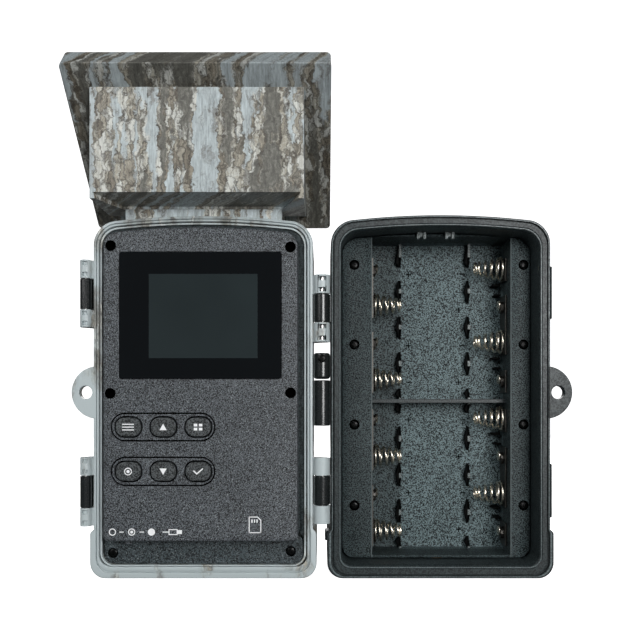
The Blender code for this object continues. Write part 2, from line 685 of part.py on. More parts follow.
def battery_tray(material, axis):
    half, low, high = CASE_CAVITY
    tray = prism(housing_outline(CASE_X, half - GAP, low + GAP, high - GAP, 4.7, 5.7),
                 depth(TRAY_TOP), depth(TRAY_BACK))
    round_face(tray, "Y", depth(TRAY_TOP), 0.5, 1)
    wall = 1.4
    cuts = [block((BAY_LEFT, BAY_RIGHT), (depth(TRAY_TOP - 1), depth(BAY_FLOOR)), (low + wall, high - wall))]
    for left, right in ((CASE_X - half + 2, BAY_LEFT - wall), (BAY_RIGHT + wall, CASE_X + half - 2)):
        cuts.append(block((left, right), (depth(TRAY_TOP + wall), depth(TRAY_BACK + 1)), (low + 4, high - 8)))
    for x in TRAY_SCREW_X:
        cuts += [rod((x, z), 1.7, depth(TRAY_TOP - 1), depth(TRAY_TOP + 0.8), "Y", 12) for z in TRAY_SCREW_Z]
    ribs = [prism(rib_outline(), x - RIB_THICKNESS / 2, x + RIB_THICKNESS / 2, "X") for x in RIB_X]
    partition = block((BAY_LEFT - 0.5, BAY_RIGHT + 0.5), (depth(19.5), depth(BAY_FLOOR + 0.5)),
                      (PARTITION_Z - 0.8, PARTITION_Z + 0.8))
    hook_z = (high - wall - 2.2, high - wall + 0.5)
    hooks = [block((x - 0.9, x + 0.9), (depth(TRAY_TOP), depth(BAY_FLOOR)), hook_z) for x in HOOK_X]
    add_part("battery_tray", tray, material,
             [("DIFFERENCE", cuts), ("UNION", ribs + [partition] + hooks)], axis, (HINGE_X, PARTING_Y, 0))


def spring_side(index):
    """Side of the bay that holds a cell's spring: right for the first, left for the next."""
    return 1 if index % 2 == 0 else -1


def contact_face(side, inset):
    """X of a face that stands off a bay wall by an inset."""
    return BAY_RIGHT - inset if side > 0 else BAY_LEFT + inset


def spring_mesh(side, z):
    """A conical contact coil whose wide end faces its contact plate."""
    start = contact_face(side, GAP + CONTACT_THICKNESS + GAP + 0.4)
    steps = int(SPRING_TURNS * 8)
    curve = bpy.data.curves.new("coil", "CURVE")
    curve.dimensions = "3D"
    curve.bevel_depth = 0.4 * MM
    curve.bevel_resolution = 1
    curve.use_fill_caps = True
    spline = curve.splines.new("POLY")
    spline.points.add(steps)
    for step, point in enumerate(spline.points):
        share = step / steps
        angle = 2 * math.pi * SPRING_TURNS * share
        radius = 4.4 - 2.3 * share
        x = start - side * (SPRING_LENGTH - 0.8) * share
        y = depth(CELL_DEPTH) + radius * math.cos(angle)
        height = z + radius * math.sin(angle)
        point.co = (x * MM, y * MM, height * MM, 1)
    return mesh_of_curve(curve, Matrix.Identity(4))


def battery_contacts(steel, axis):
    for index, z in enumerate(CELL_Z):
        origin = (contact_face(spring_side(index), 6), depth(CELL_DEPTH), z)
        add_part(f"battery_spring_{index + 1}", spring_mesh(spring_side(index), z), steel, (), axis, origin)
    for bank in (0, 4):
        spans = [(-1, bank, bank + 1), (-1, bank + 2, bank + 3), (1, bank, bank), (1, bank + 1, bank + 2),
                 (1, bank + 3, bank + 3)]
        for side, first, last in spans:
            name = f"battery_contact_{'left' if side < 0 else 'right'}_{first + 1}"
            if last > first:
                name += f"_{last + 1}"
            near = contact_face(side, GAP)
            far = contact_face(side, GAP + CONTACT_THICKNESS)
            x = (min(near, far), max(near, far))
            plate = block(x, (depth(CELL_DEPTH - 4.6), depth(CELL_DEPTH + 4.8)),
                          (CELL_Z[last] - 4.6, CELL_Z[first] + 4.6))
            bosses = []
            for cell in range(first, last + 1):
                if spring_side(cell) != side:
                    tip = contact_face(side, GAP + CONTACT_THICKNESS + 1.2)
                    limits = (min(near, tip), max(near, tip))
                    bosses.append(rod((depth(CELL_DEPTH), CELL_Z[cell]), 2.4, *limits, "X", 12))
            steps = [("UNION", bosses)] if bosses else []
            add_part(name, plate, steel, steps, axis, (near, depth(CELL_DEPTH), CELL_Z[first]))


def strap_bracket(material, axis):
    """The saddle on the back of the case: two bridges that a webbing strap passes through."""
    back = depth(CASE_DEPTH) + GAP
    plate = prism(rectangle(CASE_X - 24, CASE_X + 24, EAR_Z - 24, EAR_Z + 24, 4), back, back + 2.2)
    bridges = []
    slots = []
    for side in (-1, 1):
        x = (CASE_X + side * 20 - 4, CASE_X + side * 20 + 4)
        bridges.append(block(x, (back + 1, back + 10), (EAR_Z - 21, EAR_Z + 21)))
        slots.append(block((x[0] - 1, x[1] + 1), (back + 2.2, back + 7.2), (EAR_Z - 14.5, EAR_Z + 14.5)))
        for notch in range(8):
            z = EAR_Z - 17.5 + 5 * notch
            tooth = [(back + 8, z), (back + 11, z - 2.6), (back + 11, z + 2.6)]
            slots.append(prism(tooth, x[0] - 1, x[1] + 1, "X"))
    add_part("strap_bracket", plate, material, [("UNION", bridges), ("DIFFERENCE", slots)], axis,
             (CASE_X, back, EAR_Z))


# Solar hood

def under_plate(y):
    """Height, a gap below the plate's lower face, of the hood box at a Y."""
    slope = math.radians(PLATE_TILT)
    return PLATE_TOP_EDGE[1] - (y - PLATE_TOP_EDGE[0]) * math.tan(slope) - GAP / math.cos(slope)


def hood_neck(camo):
    """The short foot on the crowned top; its upper face follows the underside of the box."""
    step = NECK_HALF_WIDTH / 3
    crown = []
    for x in [step * side for side in range(-3, 4)]:
        crown.append((x, FRONT_TOP + GAP - x ** 2 / (2 * CROWN_RADIUS)))
    top = HOOD_LOW + 5
    neck = prism(crown + [(NECK_HALF_WIDTH, top), (-NECK_HALF_WIDTH, top)], NECK_REAR_Y, NECK_FRONT_Y)
    above = [
        (NECK_REAR_Y - 2, HOOD_LOW - GAP), (HOOD_FLAT_END, HOOD_LOW - GAP), (HOOD_TIP[0], HOOD_TIP[1] - GAP),
        (HOOD_TIP[0], top + 2), (NECK_REAR_Y - 2, top + 2)]
    lid = prism(above, -NECK_HALF_WIDTH - 2, NECK_HALF_WIDTH + 2, "X")
    add_part("hood_neck", neck, camo, [("DIFFERENCE", [lid, lead_hole(FRONT_TOP - 8, top + 2)])])


def funnel_cutter():
    """The shallow hollow under the box that narrows from its rear edge to the neck."""
    shape = bmesh.new()
    rows = []
    for y, (half, roof) in ((HOOD_REAR_Y, FUNNEL_REAR), (NECK_REAR_Y, FUNNEL_FRONT)):
        low = HOOD_LOW - 2
        rows.append([(-half, y, low), (half, y, low), (half, y, roof), (-half, y, roof)])
    rows[0] = [(x, y - 1, z) for x, y, z in rows[0]]
    rings = [[shape.verts.new(Vector(point) * MM) for point in row] for row in rows]
    for index in range(4):
        other = (index + 1) % 4
        shape.faces.new((rings[0][index], rings[0][other], rings[1][other], rings[1][index]))
    shape.faces.new(rings[0])
    shape.faces.new(rings[1])
    bmesh.ops.recalc_face_normals(shape, faces=shape.faces)
    mesh = bpy.data.meshes.new("funnel")
    shape.to_mesh(mesh)
    shape.free()
    return mesh


def hood(camo, glass, battery_material, board_material):
    hood_neck(camo)
    slope = math.tan(math.radians(PLATE_TILT))
    crest = HOOD_REAR_Y + (under_plate(HOOD_REAR_Y) - HOOD_HIGH) / slope
    wedge = [
        (HOOD_REAR_Y, HOOD_LOW), (HOOD_FLAT_END, HOOD_LOW), HOOD_TIP, (HOOD_TIP[0], under_plate(HOOD_TIP[0])),
        (crest, HOOD_HIGH), (HOOD_REAR_Y, HOOD_HIGH)]
    open_side = 12
    inside = [
        (HOOD_REAR_Y + HOOD_WALL, HOOD_FLOOR), (HOOD_TIP[0] + open_side, HOOD_FLOOR),
        (HOOD_REAR_Y + HOOD_WALL, HOOD_HIGH + open_side)]
    shell = prism(wedge, -HOOD_HALF_WIDTH, HOOD_HALF_WIDTH, "X")
    inner = HOOD_HALF_WIDTH - HOOD_WALL
    cuts = [
        prism(inside, -inner, inner, "X"),
        funnel_cutter(),
        lead_hole(HOOD_LOW - 1, HOOD_FLOOR + 1),
    ]
    add_part("hood_shell", shell, camo, [("DIFFERENCE", cuts)])
    cell_y = HOOD_REAR_Y + HOOD_WALL + 2 * GAP + CELL_18650_RADIUS
    cell_z = HOOD_FLOOR + 2 * GAP + CELL_18650_RADIUS
    half = CELL_18650_LENGTH / 2
    add_part("hood_battery", rod((cell_y, cell_z), CELL_18650_RADIUS, -half, half, "X", 24), battery_material)
    board_low = HOOD_FLOOR + 1.3
    board = block((-14, 14), (-14.5, -8), (board_low, board_low + 1.6))
    add_part("charge_board", board, board_material)
    solar_plate(camo, glass)


def solar_plate(camo, glass):
    """The tilted plate: its own X is the width, its Y runs down the slope and its Z is the sun side."""
    tilt = Matrix.Rotation(math.radians(-PLATE_TILT), 4, "X")
    corner = Vector((0, PLATE_TOP_EDGE[0], PLATE_TOP_EDGE[1])) * MM
    half = PLATE_HALF_WIDTH
    frame = prism(rectangle(-half, half, 0, PLATE_LENGTH, 3), 0, PLATE_THICKNESS, "Z")
    round_face(frame, "Z", PLATE_THICKNESS, 1.2)
    seat_floor = PLATE_THICKNESS - PANEL_THICKNESS - 2 * GAP
    above = PLATE_THICKNESS + 2
    cuts = []
    for margin, floor in ((PANEL_MARGIN, seat_floor), (POCKET_MARGIN, POCKET_FLOOR)):
        outline = rectangle(-half + margin, half - margin, margin, PLATE_LENGTH - margin, 2)
        cuts.append(prism(outline, floor, above, "Z"))
    frame_part = add_part("solar_frame", frame, camo, [("DIFFERENCE", cuts)])
    inset = PANEL_MARGIN + GAP
    outline = rectangle(-half + inset, half - inset, inset, PLATE_LENGTH - inset, 1.7)
    panel = prism(outline, seat_floor + GAP, seat_floor + GAP + PANEL_THICKNESS, "Z")
    panel_part = add_part("solar_panel", panel, glass)
    tilted = [frame_part, panel_part]
    for group in cutters.children:
        if group.name.startswith("solar_frame"):
            tilted += group.objects
    for item in tilted:
        item.rotation_euler = tilt.to_euler()
        item.location = corner


def main():
    clear_scene()
    camo = make_material("bark_camouflage", (0.36, 0.34, 0.31), 0.55)
    black = make_material("textured_black", (0.03, 0.032, 0.034), 0.5)
    case_black = make_material("case_black", (0.022, 0.025, 0.028), 0.45)
    rubber = make_material("seal_rubber", (0.015, 0.015, 0.016), 0.8)
    gloss = make_material("screen_gloss", (0.004, 0.004, 0.005), 0.12)
    display = make_material("display_grey", (0.018, 0.024, 0.028), 0.3)
    board = make_material("circuit_board", (0.03, 0.12, 0.05), 0.5)
    steel = make_material("contact_steel", (0.72, 0.7, 0.66), 0.22, 1.0)
    pin_steel = make_material("pin_steel", (0.25, 0.25, 0.26), 0.35, 1.0)
    brass = make_material("insert_brass", (0.7, 0.5, 0.25), 0.35, 1.0)
    white = make_material("sensor_white", (0.75, 0.76, 0.75), 0.4)
    glass = make_material("lens_glass", (0.02, 0.025, 0.04), 0.05)
    solar = make_material("solar_cells", (0.012, 0.016, 0.05), 0.15)
    sleeve = make_material("cell_sleeve", (0.05, 0.16, 0.42), 0.4)
    case_axis = add_axis("battery_case_axis", (HINGE_X, PARTING_Y, 0))
    front_housing(camo)
    seal_gasket(rubber)
    control_panel(black)
    keypad(black)
    screen(gloss, display)
    electronics(board, steel, black)
    lens_side(case_black, gloss, glass, steel, board, white)
    hinges(pin_steel, case_black, case_axis)
    latches(case_black, pin_steel)
    battery_case(case_black, brass, case_axis)
    battery_tray(case_black, case_axis)
    battery_contacts(steel, case_axis)
    strap_bracket(case_black, case_axis)
    hood(camo, solar, sleeve, board)


main()
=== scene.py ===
"""Looks of the trail camera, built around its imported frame.

Lengths are in millimetres in the frame's axes, and MM turns them into metres: X runs from the latches
to the battery case, Y from the open side to the lens side, and Z is up. A depth is measured from the
parting plane into the housings.
"""
import math

import bmesh
import bpy
from mathutils import Matrix, Vector


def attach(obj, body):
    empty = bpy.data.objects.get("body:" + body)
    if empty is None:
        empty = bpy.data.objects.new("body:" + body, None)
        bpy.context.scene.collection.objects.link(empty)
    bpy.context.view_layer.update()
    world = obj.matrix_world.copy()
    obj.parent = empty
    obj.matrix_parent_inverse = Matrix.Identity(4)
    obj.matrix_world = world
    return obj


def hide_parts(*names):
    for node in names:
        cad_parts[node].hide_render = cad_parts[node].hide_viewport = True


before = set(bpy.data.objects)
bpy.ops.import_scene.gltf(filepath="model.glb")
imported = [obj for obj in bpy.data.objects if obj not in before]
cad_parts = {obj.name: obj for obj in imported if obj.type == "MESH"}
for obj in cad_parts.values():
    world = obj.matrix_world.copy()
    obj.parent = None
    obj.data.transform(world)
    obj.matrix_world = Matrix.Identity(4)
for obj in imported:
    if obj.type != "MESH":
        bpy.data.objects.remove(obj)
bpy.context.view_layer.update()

MM = 0.001
PARTING_Y = -23.0
HINGE_X = 45.2
CASE_X = 2 * HINGE_X
HALF_WIDTH = 41.8
CROWN_RADIUS = 300.0
FLARE = 1.4
FLARE_TOP = 18.7
FRONT_TOP = 138.1
CASE_TOP = 138.5
FRONT_Y = 23.0
CASE_BACK = 33.5
PANEL_FACE = -4.5
LENS_Z = 80.0
EAR_Z = 70.9
EAR_RADIUS = 10.0
EAR_REACH = 50.1
LATCH_X = -44.4
LATCH_KNUCKLE_RADIUS = 2.2
HINGE_KNUCKLE_RADIUS = 3.1
PIN_BORE_RADIUS = 1.5
EAR_HOLE_RADIUS = 2.5
EAR_HOLE_INSET = 5.4
FRONT_BACK = 46.0
CASE_FLOOR = 30.9
PLATE_TILT = 42.7
PLATE_TOP_EDGE = (-42.7, 187.7)
PLATE_LENGTH = 70.2
PLATE_HALF_WIDTH = 48.6
PLATE_THICKNESS = 9.0
HOOD_REAR_Y = -38.0
HOOD_HALF_WIDTH = 38.7
HOOD_LOW = 140.8
HOOD_FLAT_END = -11.8
HOOD_TIP = (4.0, 144.2)
HOOD_HIGH = 181.0
NECK_HALF_WIDTH = 29.9
NECK_REAR_Y = -21.6
NECK_FRONT_Y = 3.0

KEY_ROWS = ((52.2, 63.6), (35.5, 47.1))
KEY_FIELD = (-34.2, 5.6)
KEY_HOLE_FLOOR = -0.7
KEY_GAP = 0.55
KEY_FACE = -5.15
KEY_ROOT = -1.6
BUTTON_X = (-27.2, -14.1, -1.05)
BUTTON_NAMES = (("menu", "up", "mode"), ("shot", "down", "ok"))
SCREW_WELL_RADIUS = 2.05
PANEL_SCREWS = ((-33.9, 125.8), (33.4, 125.3), (-34.1, 70.5), (33.5, 70.7))
STRIP_SCREWS = ((-34.8, 9.4), (33.3, 10.1))
TRAY_SCREW_X = (58.05, 125.0)
TRAY_SCREW_Z = (121.5, 90.0, 58.3, 26.3)
CELL_Z = (120.6, 105.7, 90.8, 75.5, 59.7, 44.3, 29.2, 13.9)
TRAY_TOP = 12.0
BAY = (65.05, 119.8)
BAY_LOW = 6.7
BAY_HIGH = 132.6
BAY_FLOOR = 30.0
PARTITION_Z = 67.6
RIB_X = (77.6, 106.1)
CRADLE_DEPTH = 23.1
CRADLE_RADIUS = 7.4
CRADLE_GAP = 2.67
RIB_FLANK = 6.45
CAP_DEPTH = 26.6
SPRING_DEPTH = 22.0
SPRING_RISE = 0.9


def depth(value):
    """Y of a depth below the parting plane."""
    return PARTING_Y + value


# Camera, light and stage

def make_camera():
    data = bpy.data.cameras.new("camera")
    data.lens = 44.36
    data.sensor_width = 36.0
    data.shift_x = -0.011
    data.shift_y = 0.135
    data.clip_start = 0.01
    camera = bpy.data.objects.new("camera", data)
    camera.location = Vector((HINGE_X, depth(-295), 68)) * MM
    camera.rotation_euler = (math.radians(90), 0, 0)
    bpy.context.scene.collection.objects.link(camera)
    bpy.context.scene.camera = camera


def make_light(name, location, target, size, power):
    data = bpy.data.lights.new(name, "AREA")
    data.shape = "RECTANGLE"
    data.size, data.size_y = size
    data.energy = power
    light = bpy.data.objects.new(name, data)
    light.location = location
    light.rotation_euler = (Vector(target) - Vector(location)).to_track_quat("-Z", "Y").to_euler()
    bpy.context.scene.collection.objects.link(light)


def make_stage():
    world = bpy.data.worlds.new("studio")
    world.use_nodes = True
    world.node_tree.nodes["Background"].inputs["Color"].default_value = (0.92, 0.97, 1.0, 1.0)
    world.node_tree.nodes["Background"].inputs["Strength"].default_value = 0.13
    bpy.context.scene.world = world
    bpy.context.scene.view_settings.view_transform = "Standard"
    middle = (0.045, -0.02, 0.09)
    make_light("key", (0.34, -0.80, 0.20), middle, (0.32, 0.32), 5.3)
    make_light("fill", (-0.52, -0.75, 0.50), middle, (0.45, 0.45), 4.0)
    make_light("front_fill", (0.05, 0.8, 0.6), middle, (0.6, 0.6), 8.0)
    paper = bpy.data.materials.new("studio_paper")
    paper.use_nodes = True
    shader = paper.node_tree.nodes["Principled BSDF"]
    shader.inputs["Base Color"].default_value = (0.93, 0.93, 0.93, 1.0)
    shader.inputs["Roughness"].default_value = 0.9
    shader.inputs["Emission Color"].default_value = (1.0, 1.0, 1.0, 1.0)
    shader.inputs["Emission Strength"].default_value = 1.0
    for name, place, turn in (("studio_floor", (0, 0, 0), (0, 0, 0)),
                              ("studio_backdrop", (0, 1.2, 2.0), (math.radians(90), 0, 0))):
        shape = bmesh.new()
        bmesh.ops.create_grid(shape, x_segments=1, y_segments=1, size=3.0)
        mesh = bpy.data.meshes.new(name)
        shape.to_mesh(mesh)
        shape.free()
        sheet = bpy.data.objects.new(name, mesh)
        sheet.location = place
        sheet.rotation_euler = turn
        sheet.visible_diffuse = False
        sheet.visible_glossy = False
        mesh.materials.append(paper)
        bpy.context.scene.collection.objects.link(sheet)


# Materials

class Shader:
    """Short calls that build one material's nodes; a socket or a number can feed any input."""

    def __init__(self, name, roughness=0.5, metallic=0.0, specular=0.5):
        self.material = bpy.data.materials.new(name)
        self.material.use_nodes = True
        self.tree = self.material.node_tree
        self.bsdf = self.tree.nodes["Principled BSDF"]
        self.bsdf.inputs["Roughness"].default_value = roughness
        self.bsdf.inputs["Metallic"].default_value = metallic
        self.bsdf.inputs["Specular IOR Level"].default_value = specular

    def feed(self, socket, value):
        if isinstance(value, bpy.types.NodeSocket):
            self.tree.links.new(value, socket)
        else:
            socket.default_value = value

    def coords(self, rotation=(0, 0, 0), scale=(1, 1, 1), offset=(0, 0, 0)):
        """Object coordinates in metres, turned, moved and scaled."""
        source = self.tree.nodes.new("ShaderNodeTexCoord")
        mapping = self.tree.nodes.new("ShaderNodeMapping")
        mapping.inputs["Rotation"].default_value = rotation
        mapping.inputs["Scale"].default_value = scale
        mapping.inputs["Location"].default_value = offset
        self.tree.links.new(source.outputs["Object"], mapping.inputs["Vector"])
        return mapping.outputs["Vector"]

    def vector(self, operation, first, second):
        node = self.tree.nodes.new("ShaderNodeVectorMath")
        node.operation = operation
        self.feed(node.inputs[0], first)
        self.feed(node.inputs[1], second)
        return node.outputs["Vector"]

    def math(self, operation, first, second=0.0, clamp=False):
        node = self.tree.nodes.new("ShaderNodeMath")
        node.operation = operation
        node.use_clamp = clamp
        self.feed(node.inputs[0], first)
        self.feed(node.inputs[1], second)
        return node.outputs["Value"]

    def noise(self, vector, scale=1.0, detail=4.0, roughness=0.55, output="Fac"):
        node = self.tree.nodes.new("ShaderNodeTexNoise")
        self.tree.links.new(vector, node.inputs["Vector"])
        node.inputs["Scale"].default_value = scale
        node.inputs["Detail"].default_value = detail
        node.inputs["Roughness"].default_value = roughness
        return node.outputs[output]

    def voronoi(self, vector, scale=1.0, feature="F1", output="Distance"):
        node = self.tree.nodes.new("ShaderNodeTexVoronoi")
        node.feature = feature
        self.tree.links.new(vector, node.inputs["Vector"])
        node.inputs["Scale"].default_value = scale
        return node.outputs[output]

    def ramp(self, value, stops):
        """A colour ramp from (position, colour) pairs, where a colour may be one grey level."""
        node = self.tree.nodes.new("ShaderNodeValToRGB")
        while len(node.color_ramp.elements) < len(stops):
            node.color_ramp.elements.new(1.0)
        for element, (position, color) in zip(node.color_ramp.elements, stops):
            element.position = position
            element.color = (color, color, color, 1) if isinstance(color, (int, float)) else (*color, 1)
        self.tree.links.new(value, node.inputs["Fac"])
        return node.outputs["Color"]

    def mix(self, factor, first, second, blend="MIX"):
        node = self.tree.nodes.new("ShaderNodeMix")
        node.data_type = "RGBA"
        node.blend_type = blend
        self.feed(node.inputs["Factor"], factor)
        first_color, second_color = node.inputs[6:8]
        for socket, value in ((first_color, first), (second_color, second)):
            self.feed(socket, value if isinstance(value, bpy.types.NodeSocket) else (*value, 1))
        return node.outputs[2]

    def split(self, vector):
        node = self.tree.nodes.new("ShaderNodeSeparateXYZ")
        self.tree.links.new(vector, node.inputs["Vector"])
        return node.outputs

    def join(self, x, y, z):
        node = self.tree.nodes.new("ShaderNodeCombineXYZ")
        for socket, value in zip(node.inputs, (x, y, z)):
            self.feed(socket, value)
        return node.outputs["Vector"]

    def bump(self, height, strength, distance):
        node = self.tree.nodes.new("ShaderNodeBump")
        node.inputs["Strength"].default_value = strength
        node.inputs["Distance"].default_value = distance
        self.tree.links.new(height, node.inputs["Height"])
        self.tree.links.new(node.outputs["Normal"], self.bsdf.inputs["Normal"])

    def color(self, value):
        self.feed(self.bsdf.inputs["Base Color"], value)

    def rough(self, value):
        self.feed(self.bsdf.inputs["Roughness"], value)

    def within(self, value, low, high):
        """1 between two limits in metres and 0 outside."""
        above = self.math("GREATER_THAN", value, low)
        below = self.math("LESS_THAN", value, high)
        return self.math("MULTIPLY", above, below)


PALE_BARK = ((0.30, (0.27, 0.29, 0.29)), (0.48, (0.40, 0.45, 0.46)), (0.66, (0.52, 0.59, 0.61)))
SCALY_BARK = ((0.26, (0.085, 0.072, 0.054)), (0.38, (0.23, 0.205, 0.160)), (0.50, (0.39, 0.37, 0.305)),
              (0.64, (0.58, 0.59, 0.55)))
GREY_BARK = ((0.32, (0.062, 0.060, 0.050)), (0.50, (0.125, 0.122, 0.105)), (0.66, (0.22, 0.218, 0.19)))
CRACK = (0.040, 0.033, 0.025)
LANE_SHEAR = 0.7


def bark_material(name, tilt=0.0, pale_rim=False, offset=(0, 0, 0), painted_light_factor=1.0, lane_rate=135.0, bias=0.0):
    """Printed tree bark: ragged upright lanes, pale, scaly or grey, with dark cracks between them."""
    s = Shader(name, 0.42)
    place = s.coords(rotation=(tilt, 0, 0), offset=offset)
    wobble = s.vector("SUBTRACT", s.noise(place, 190, 5, 0.66, output="Color"), (0.5, 0.5, 0.5))
    axes = s.split(s.vector("ADD", place, s.vector("MULTIPLY", wobble, (0.0055, 0.0055, 0.014))))
    lane = s.math("ADD", axes["X"], s.math("MULTIPLY", axes["Y"], LANE_SHEAR))

    def field(across, along):
        return s.join(s.math("MULTIPLY", lane, across), s.math("MULTIPLY", axes["Z"], along), 0.0)

    broad = s.noise(field(260, 75), 1.0, 4, 0.62)
    fine = s.noise(field(900, 420), 1.0, 5, 0.7)
    band = s.math("ADD", s.noise(field(lane_rate, 9), 1.0, 1.5, 0.5),
                  s.math("ADD", s.math("MULTIPLY", s.math("SUBTRACT", broad, 0.5), 0.30), bias))
    cells = field(520, 185)
    scale_tone = s.split(s.voronoi(cells, 1.0, output="Color"))["X"]
    edge = s.math("ADD", s.voronoi(cells, 1.0, "DISTANCE_TO_EDGE"),
                  s.math("MULTIPLY", s.math("SUBTRACT", fine, 0.5), 0.34))
    mixed = s.math("ADD", s.math("MULTIPLY", scale_tone, 0.40), s.math("MULTIPLY", fine, 0.62))
    tone = s.ramp(mixed, SCALY_BARK)
    outline = s.ramp(edge, ((0.0, 0.75), (0.16, 0.0)))
    tone = s.mix(outline, tone, CRACK)
    tone = s.mix(s.ramp(band, ((0.522, 0.0), (0.556, 1.0))), tone,
                 s.mix(s.math("MULTIPLY", outline, s.ramp(broad, ((0.40, 0.9), (0.52, 0.0)))),
                       s.ramp(s.math("ADD", s.math("MULTIPLY", broad, 0.6),
                                     s.math("MULTIPLY", fine, 0.4)), PALE_BARK),
                       (0.12, 0.105, 0.09)))
    tone = s.mix(s.ramp(band, ((0.400, 1.0), (0.438, 0.0))), tone, s.ramp(fine, GREY_BARK))
    for level, width in ((0.532, 0.016), (0.424, 0.014)):
        away = s.math("ABSOLUTE", s.math("SUBTRACT", band, level))
        ragged = s.ramp(fine, ((0.42, 0.85), (0.58, 0.0)))
        tone = s.mix(s.math("MULTIPLY", s.ramp(away, ((0.0, 0.95), (width, 0.0))), ragged), tone, CRACK)
    grain = s.noise(s.vector("MULTIPLY", place, (1500, 1500, 160)), 1.0, 4, 0.65)
    tone = s.mix(1.0, tone, s.ramp(grain, ((0.32, 0.62), (0.64, 1.12))), "MULTIPLY")
    if pale_rim:
        plain = s.split(s.coords())
        rim = s.math("LESS_THAN", plain["Y"], (PARTING_Y + 1.6) * MM)
        high = s.math("MULTIPLY", s.math("SUBTRACT", plain["Z"], 0.112), 2.4, clamp=True)
        left = s.math("MULTIPLY", s.math("SUBTRACT", -0.034, plain["X"]), 10.0, clamp=True)
        stain = s.math("ADD", s.noise(s.coords(scale=(1, 1, 0.55)), 75, 5, 0.62), s.math("ADD", high, left))
        patch = s.ramp(stain, ((0.53, 0.0), (0.64, 0.85)))
        tone = s.mix(rim, tone, s.mix(patch, (0.42, 0.475, 0.485), tone))
    # Multiplying the colour by one factor paints light into it: above 1 a painted light, below 1 a painted
    # shade, so one bark comes in lit and shaded copies.
    s.color(s.mix(1.0, tone, (painted_light_factor, painted_light_factor, painted_light_factor), "MULTIPLY"))
    s.rough(s.ramp(grain, ((0.2, 0.48), (0.8, 0.36))))
    s.bump(s.noise(s.coords(), 2600, 2), 0.10, 0.0002)
    return s.material


def grain_material(name, dark, light, roughness=0.5, size=2000, strength=0.35, glint=0.0,
                   specular=0.3, floor_sheen=None, edge_highlights=()):
    """Spark-eroded black plastic: a fine speckle in colour, height and gloss.

    Below a given depth a painted sheen makes the tone lighter by a factor, less so at the low-X end.
    Narrow spans in X are painted pale: a painted highlight along the shelf edges.
    """
    s = Shader(name, roughness, specular=specular)
    place = s.coords()
    fine = s.noise(place, size, 2, 0.75)
    broad = s.noise(place, 60, 3)
    tone = s.mix(s.ramp(fine, ((0.46, 0.0), (0.54, 1.0))), dark, light)
    tone = s.mix(1.0, tone, s.ramp(broad, ((0.3, 0.86), (0.7, 1.08))), "MULTIPLY")
    # Glint paints pale specks into the colour: painted glints of the lamps on the grain.
    if glint:
        glint_specks = s.ramp(s.noise(place, size * 1.1, 1, 0.5), ((0.64, 0.0), (0.74, glint)))
        tone = s.mix(glint_specks, tone, (0.29, 0.32, 0.33))
    # Painted sheen: below the given depth, on the bay floor, the tone is lit up by a factor, less at the
    # low-X end.
    if floor_sheen:
        level, factor = floor_sheen
        below = s.math("GREATER_THAN", s.split(s.coords())["Y"], depth(level) * MM)
        lit = s.math("MULTIPLY", s.ramp(s.math("MULTIPLY", s.split(s.coords())["X"], 10.0),
                                        ((0.770, 0.55), (0.785, 1.0))), factor)
        tone = s.mix(below, tone, s.mix(1.0, tone, s.join(lit, lit, lit), "MULTIPLY"))
        # Painted highlight: a pale line along each shelf edge, on the shelf tops.
        for low, high in edge_highlights:
            highlight_span = s.within(s.split(s.coords())["X"], low * MM, high * MM)
            above = s.math("LESS_THAN", s.split(s.coords())["Y"], depth(TRAY_TOP + 0.6) * MM)
            tone = s.mix(s.math("MULTIPLY", highlight_span, above), tone, (0.085, 0.105, 0.108))
    s.color(tone)
    s.rough(s.ramp(fine, ((0.3, roughness + 0.1), (0.7, roughness - 0.1))))
    s.bump(fine, strength, 0.0002)
    return s.material


def smooth_material(name, color, roughness, metallic=0.0, wear=0.12, size=400, stretch=(1, 1, 1),
                    specular=0.5):
    """A moulded or turned surface with faint streaks in its colour and gloss."""
    s = Shader(name, roughness, metallic, specular)
    place = s.coords(scale=stretch)
    streak = s.noise(place, size, 4, 0.6)
    darker = tuple(c * (1 - wear) for c in color)
    lighter = tuple(min(1.0, c * (1 + wear)) for c in color)
    s.color(s.mix(s.ramp(streak, ((0.3, 0.0), (0.7, 1.0))), darker, lighter))
    s.rough(s.ramp(streak, ((0.3, min(1.0, roughness * 1.25)), (0.7, roughness * 0.8))))
    s.bump(streak, 0.05, 0.0001)
    return s.material


def window_material(name, view, glow):
    """Polished black cover with the faint grey field of the display behind it."""
    s = Shader(name, 0.08)
    axes = s.split(s.coords())
    left, right, low, high = (limit * MM for limit in view)
    field = s.math("MULTIPLY", s.within(axes["X"], left, right), s.within(axes["Z"], low, high))
    haze = s.ramp(s.noise(s.coords(), 25, 2), ((0.3, 0.85), (0.7, 1.15)))
    s.color(s.mix(1.0, s.mix(field, (0.0011, 0.0019, 0.0028), glow), haze, "MULTIPLY"))
    s.rough(s.ramp(s.noise(s.coords(), 900, 3), ((0.3, 0.06), (0.8, 0.11))))
    return s.material


def solar_material():
    """Dark cells under glass: pale gaps between cells and fine silver collector lines."""
    s = Shader("solar_cells", 0.12)
    axes = s.split(s.coords(rotation=(math.radians(PLATE_TILT), 0, 0)))

    def line(axis, pitch, width, shift=0.0):
        moved = s.math("ADD", axis, 1.0 + shift)
        share = s.math("FRACT", s.math("DIVIDE", moved, pitch))
        return s.math("LESS_THAN", share, width / pitch)

    cell_tone = s.mix(s.noise(s.coords(), 90, 3), (0.006, 0.009, 0.030), (0.012, 0.018, 0.055))
    fingers = s.mix(line(axes["Y"], 0.0016, 0.00022), cell_tone, (0.05, 0.06, 0.09))
    bars = s.mix(line(axes["X"], 0.0075, 0.0006, 0.002), fingers, (0.42, 0.43, 0.44))
    gaps = s.mix(line(axes["X"], 0.0225, 0.0009, 0.0055), bars, (0.30, 0.31, 0.33))
    s.color(s.mix(line(axes["Y"], 0.033, 0.0009, 0.012), gaps, (0.30, 0.31, 0.33)))
    s.bsdf.inputs["Coat Weight"].default_value = 0.6
    return s.material


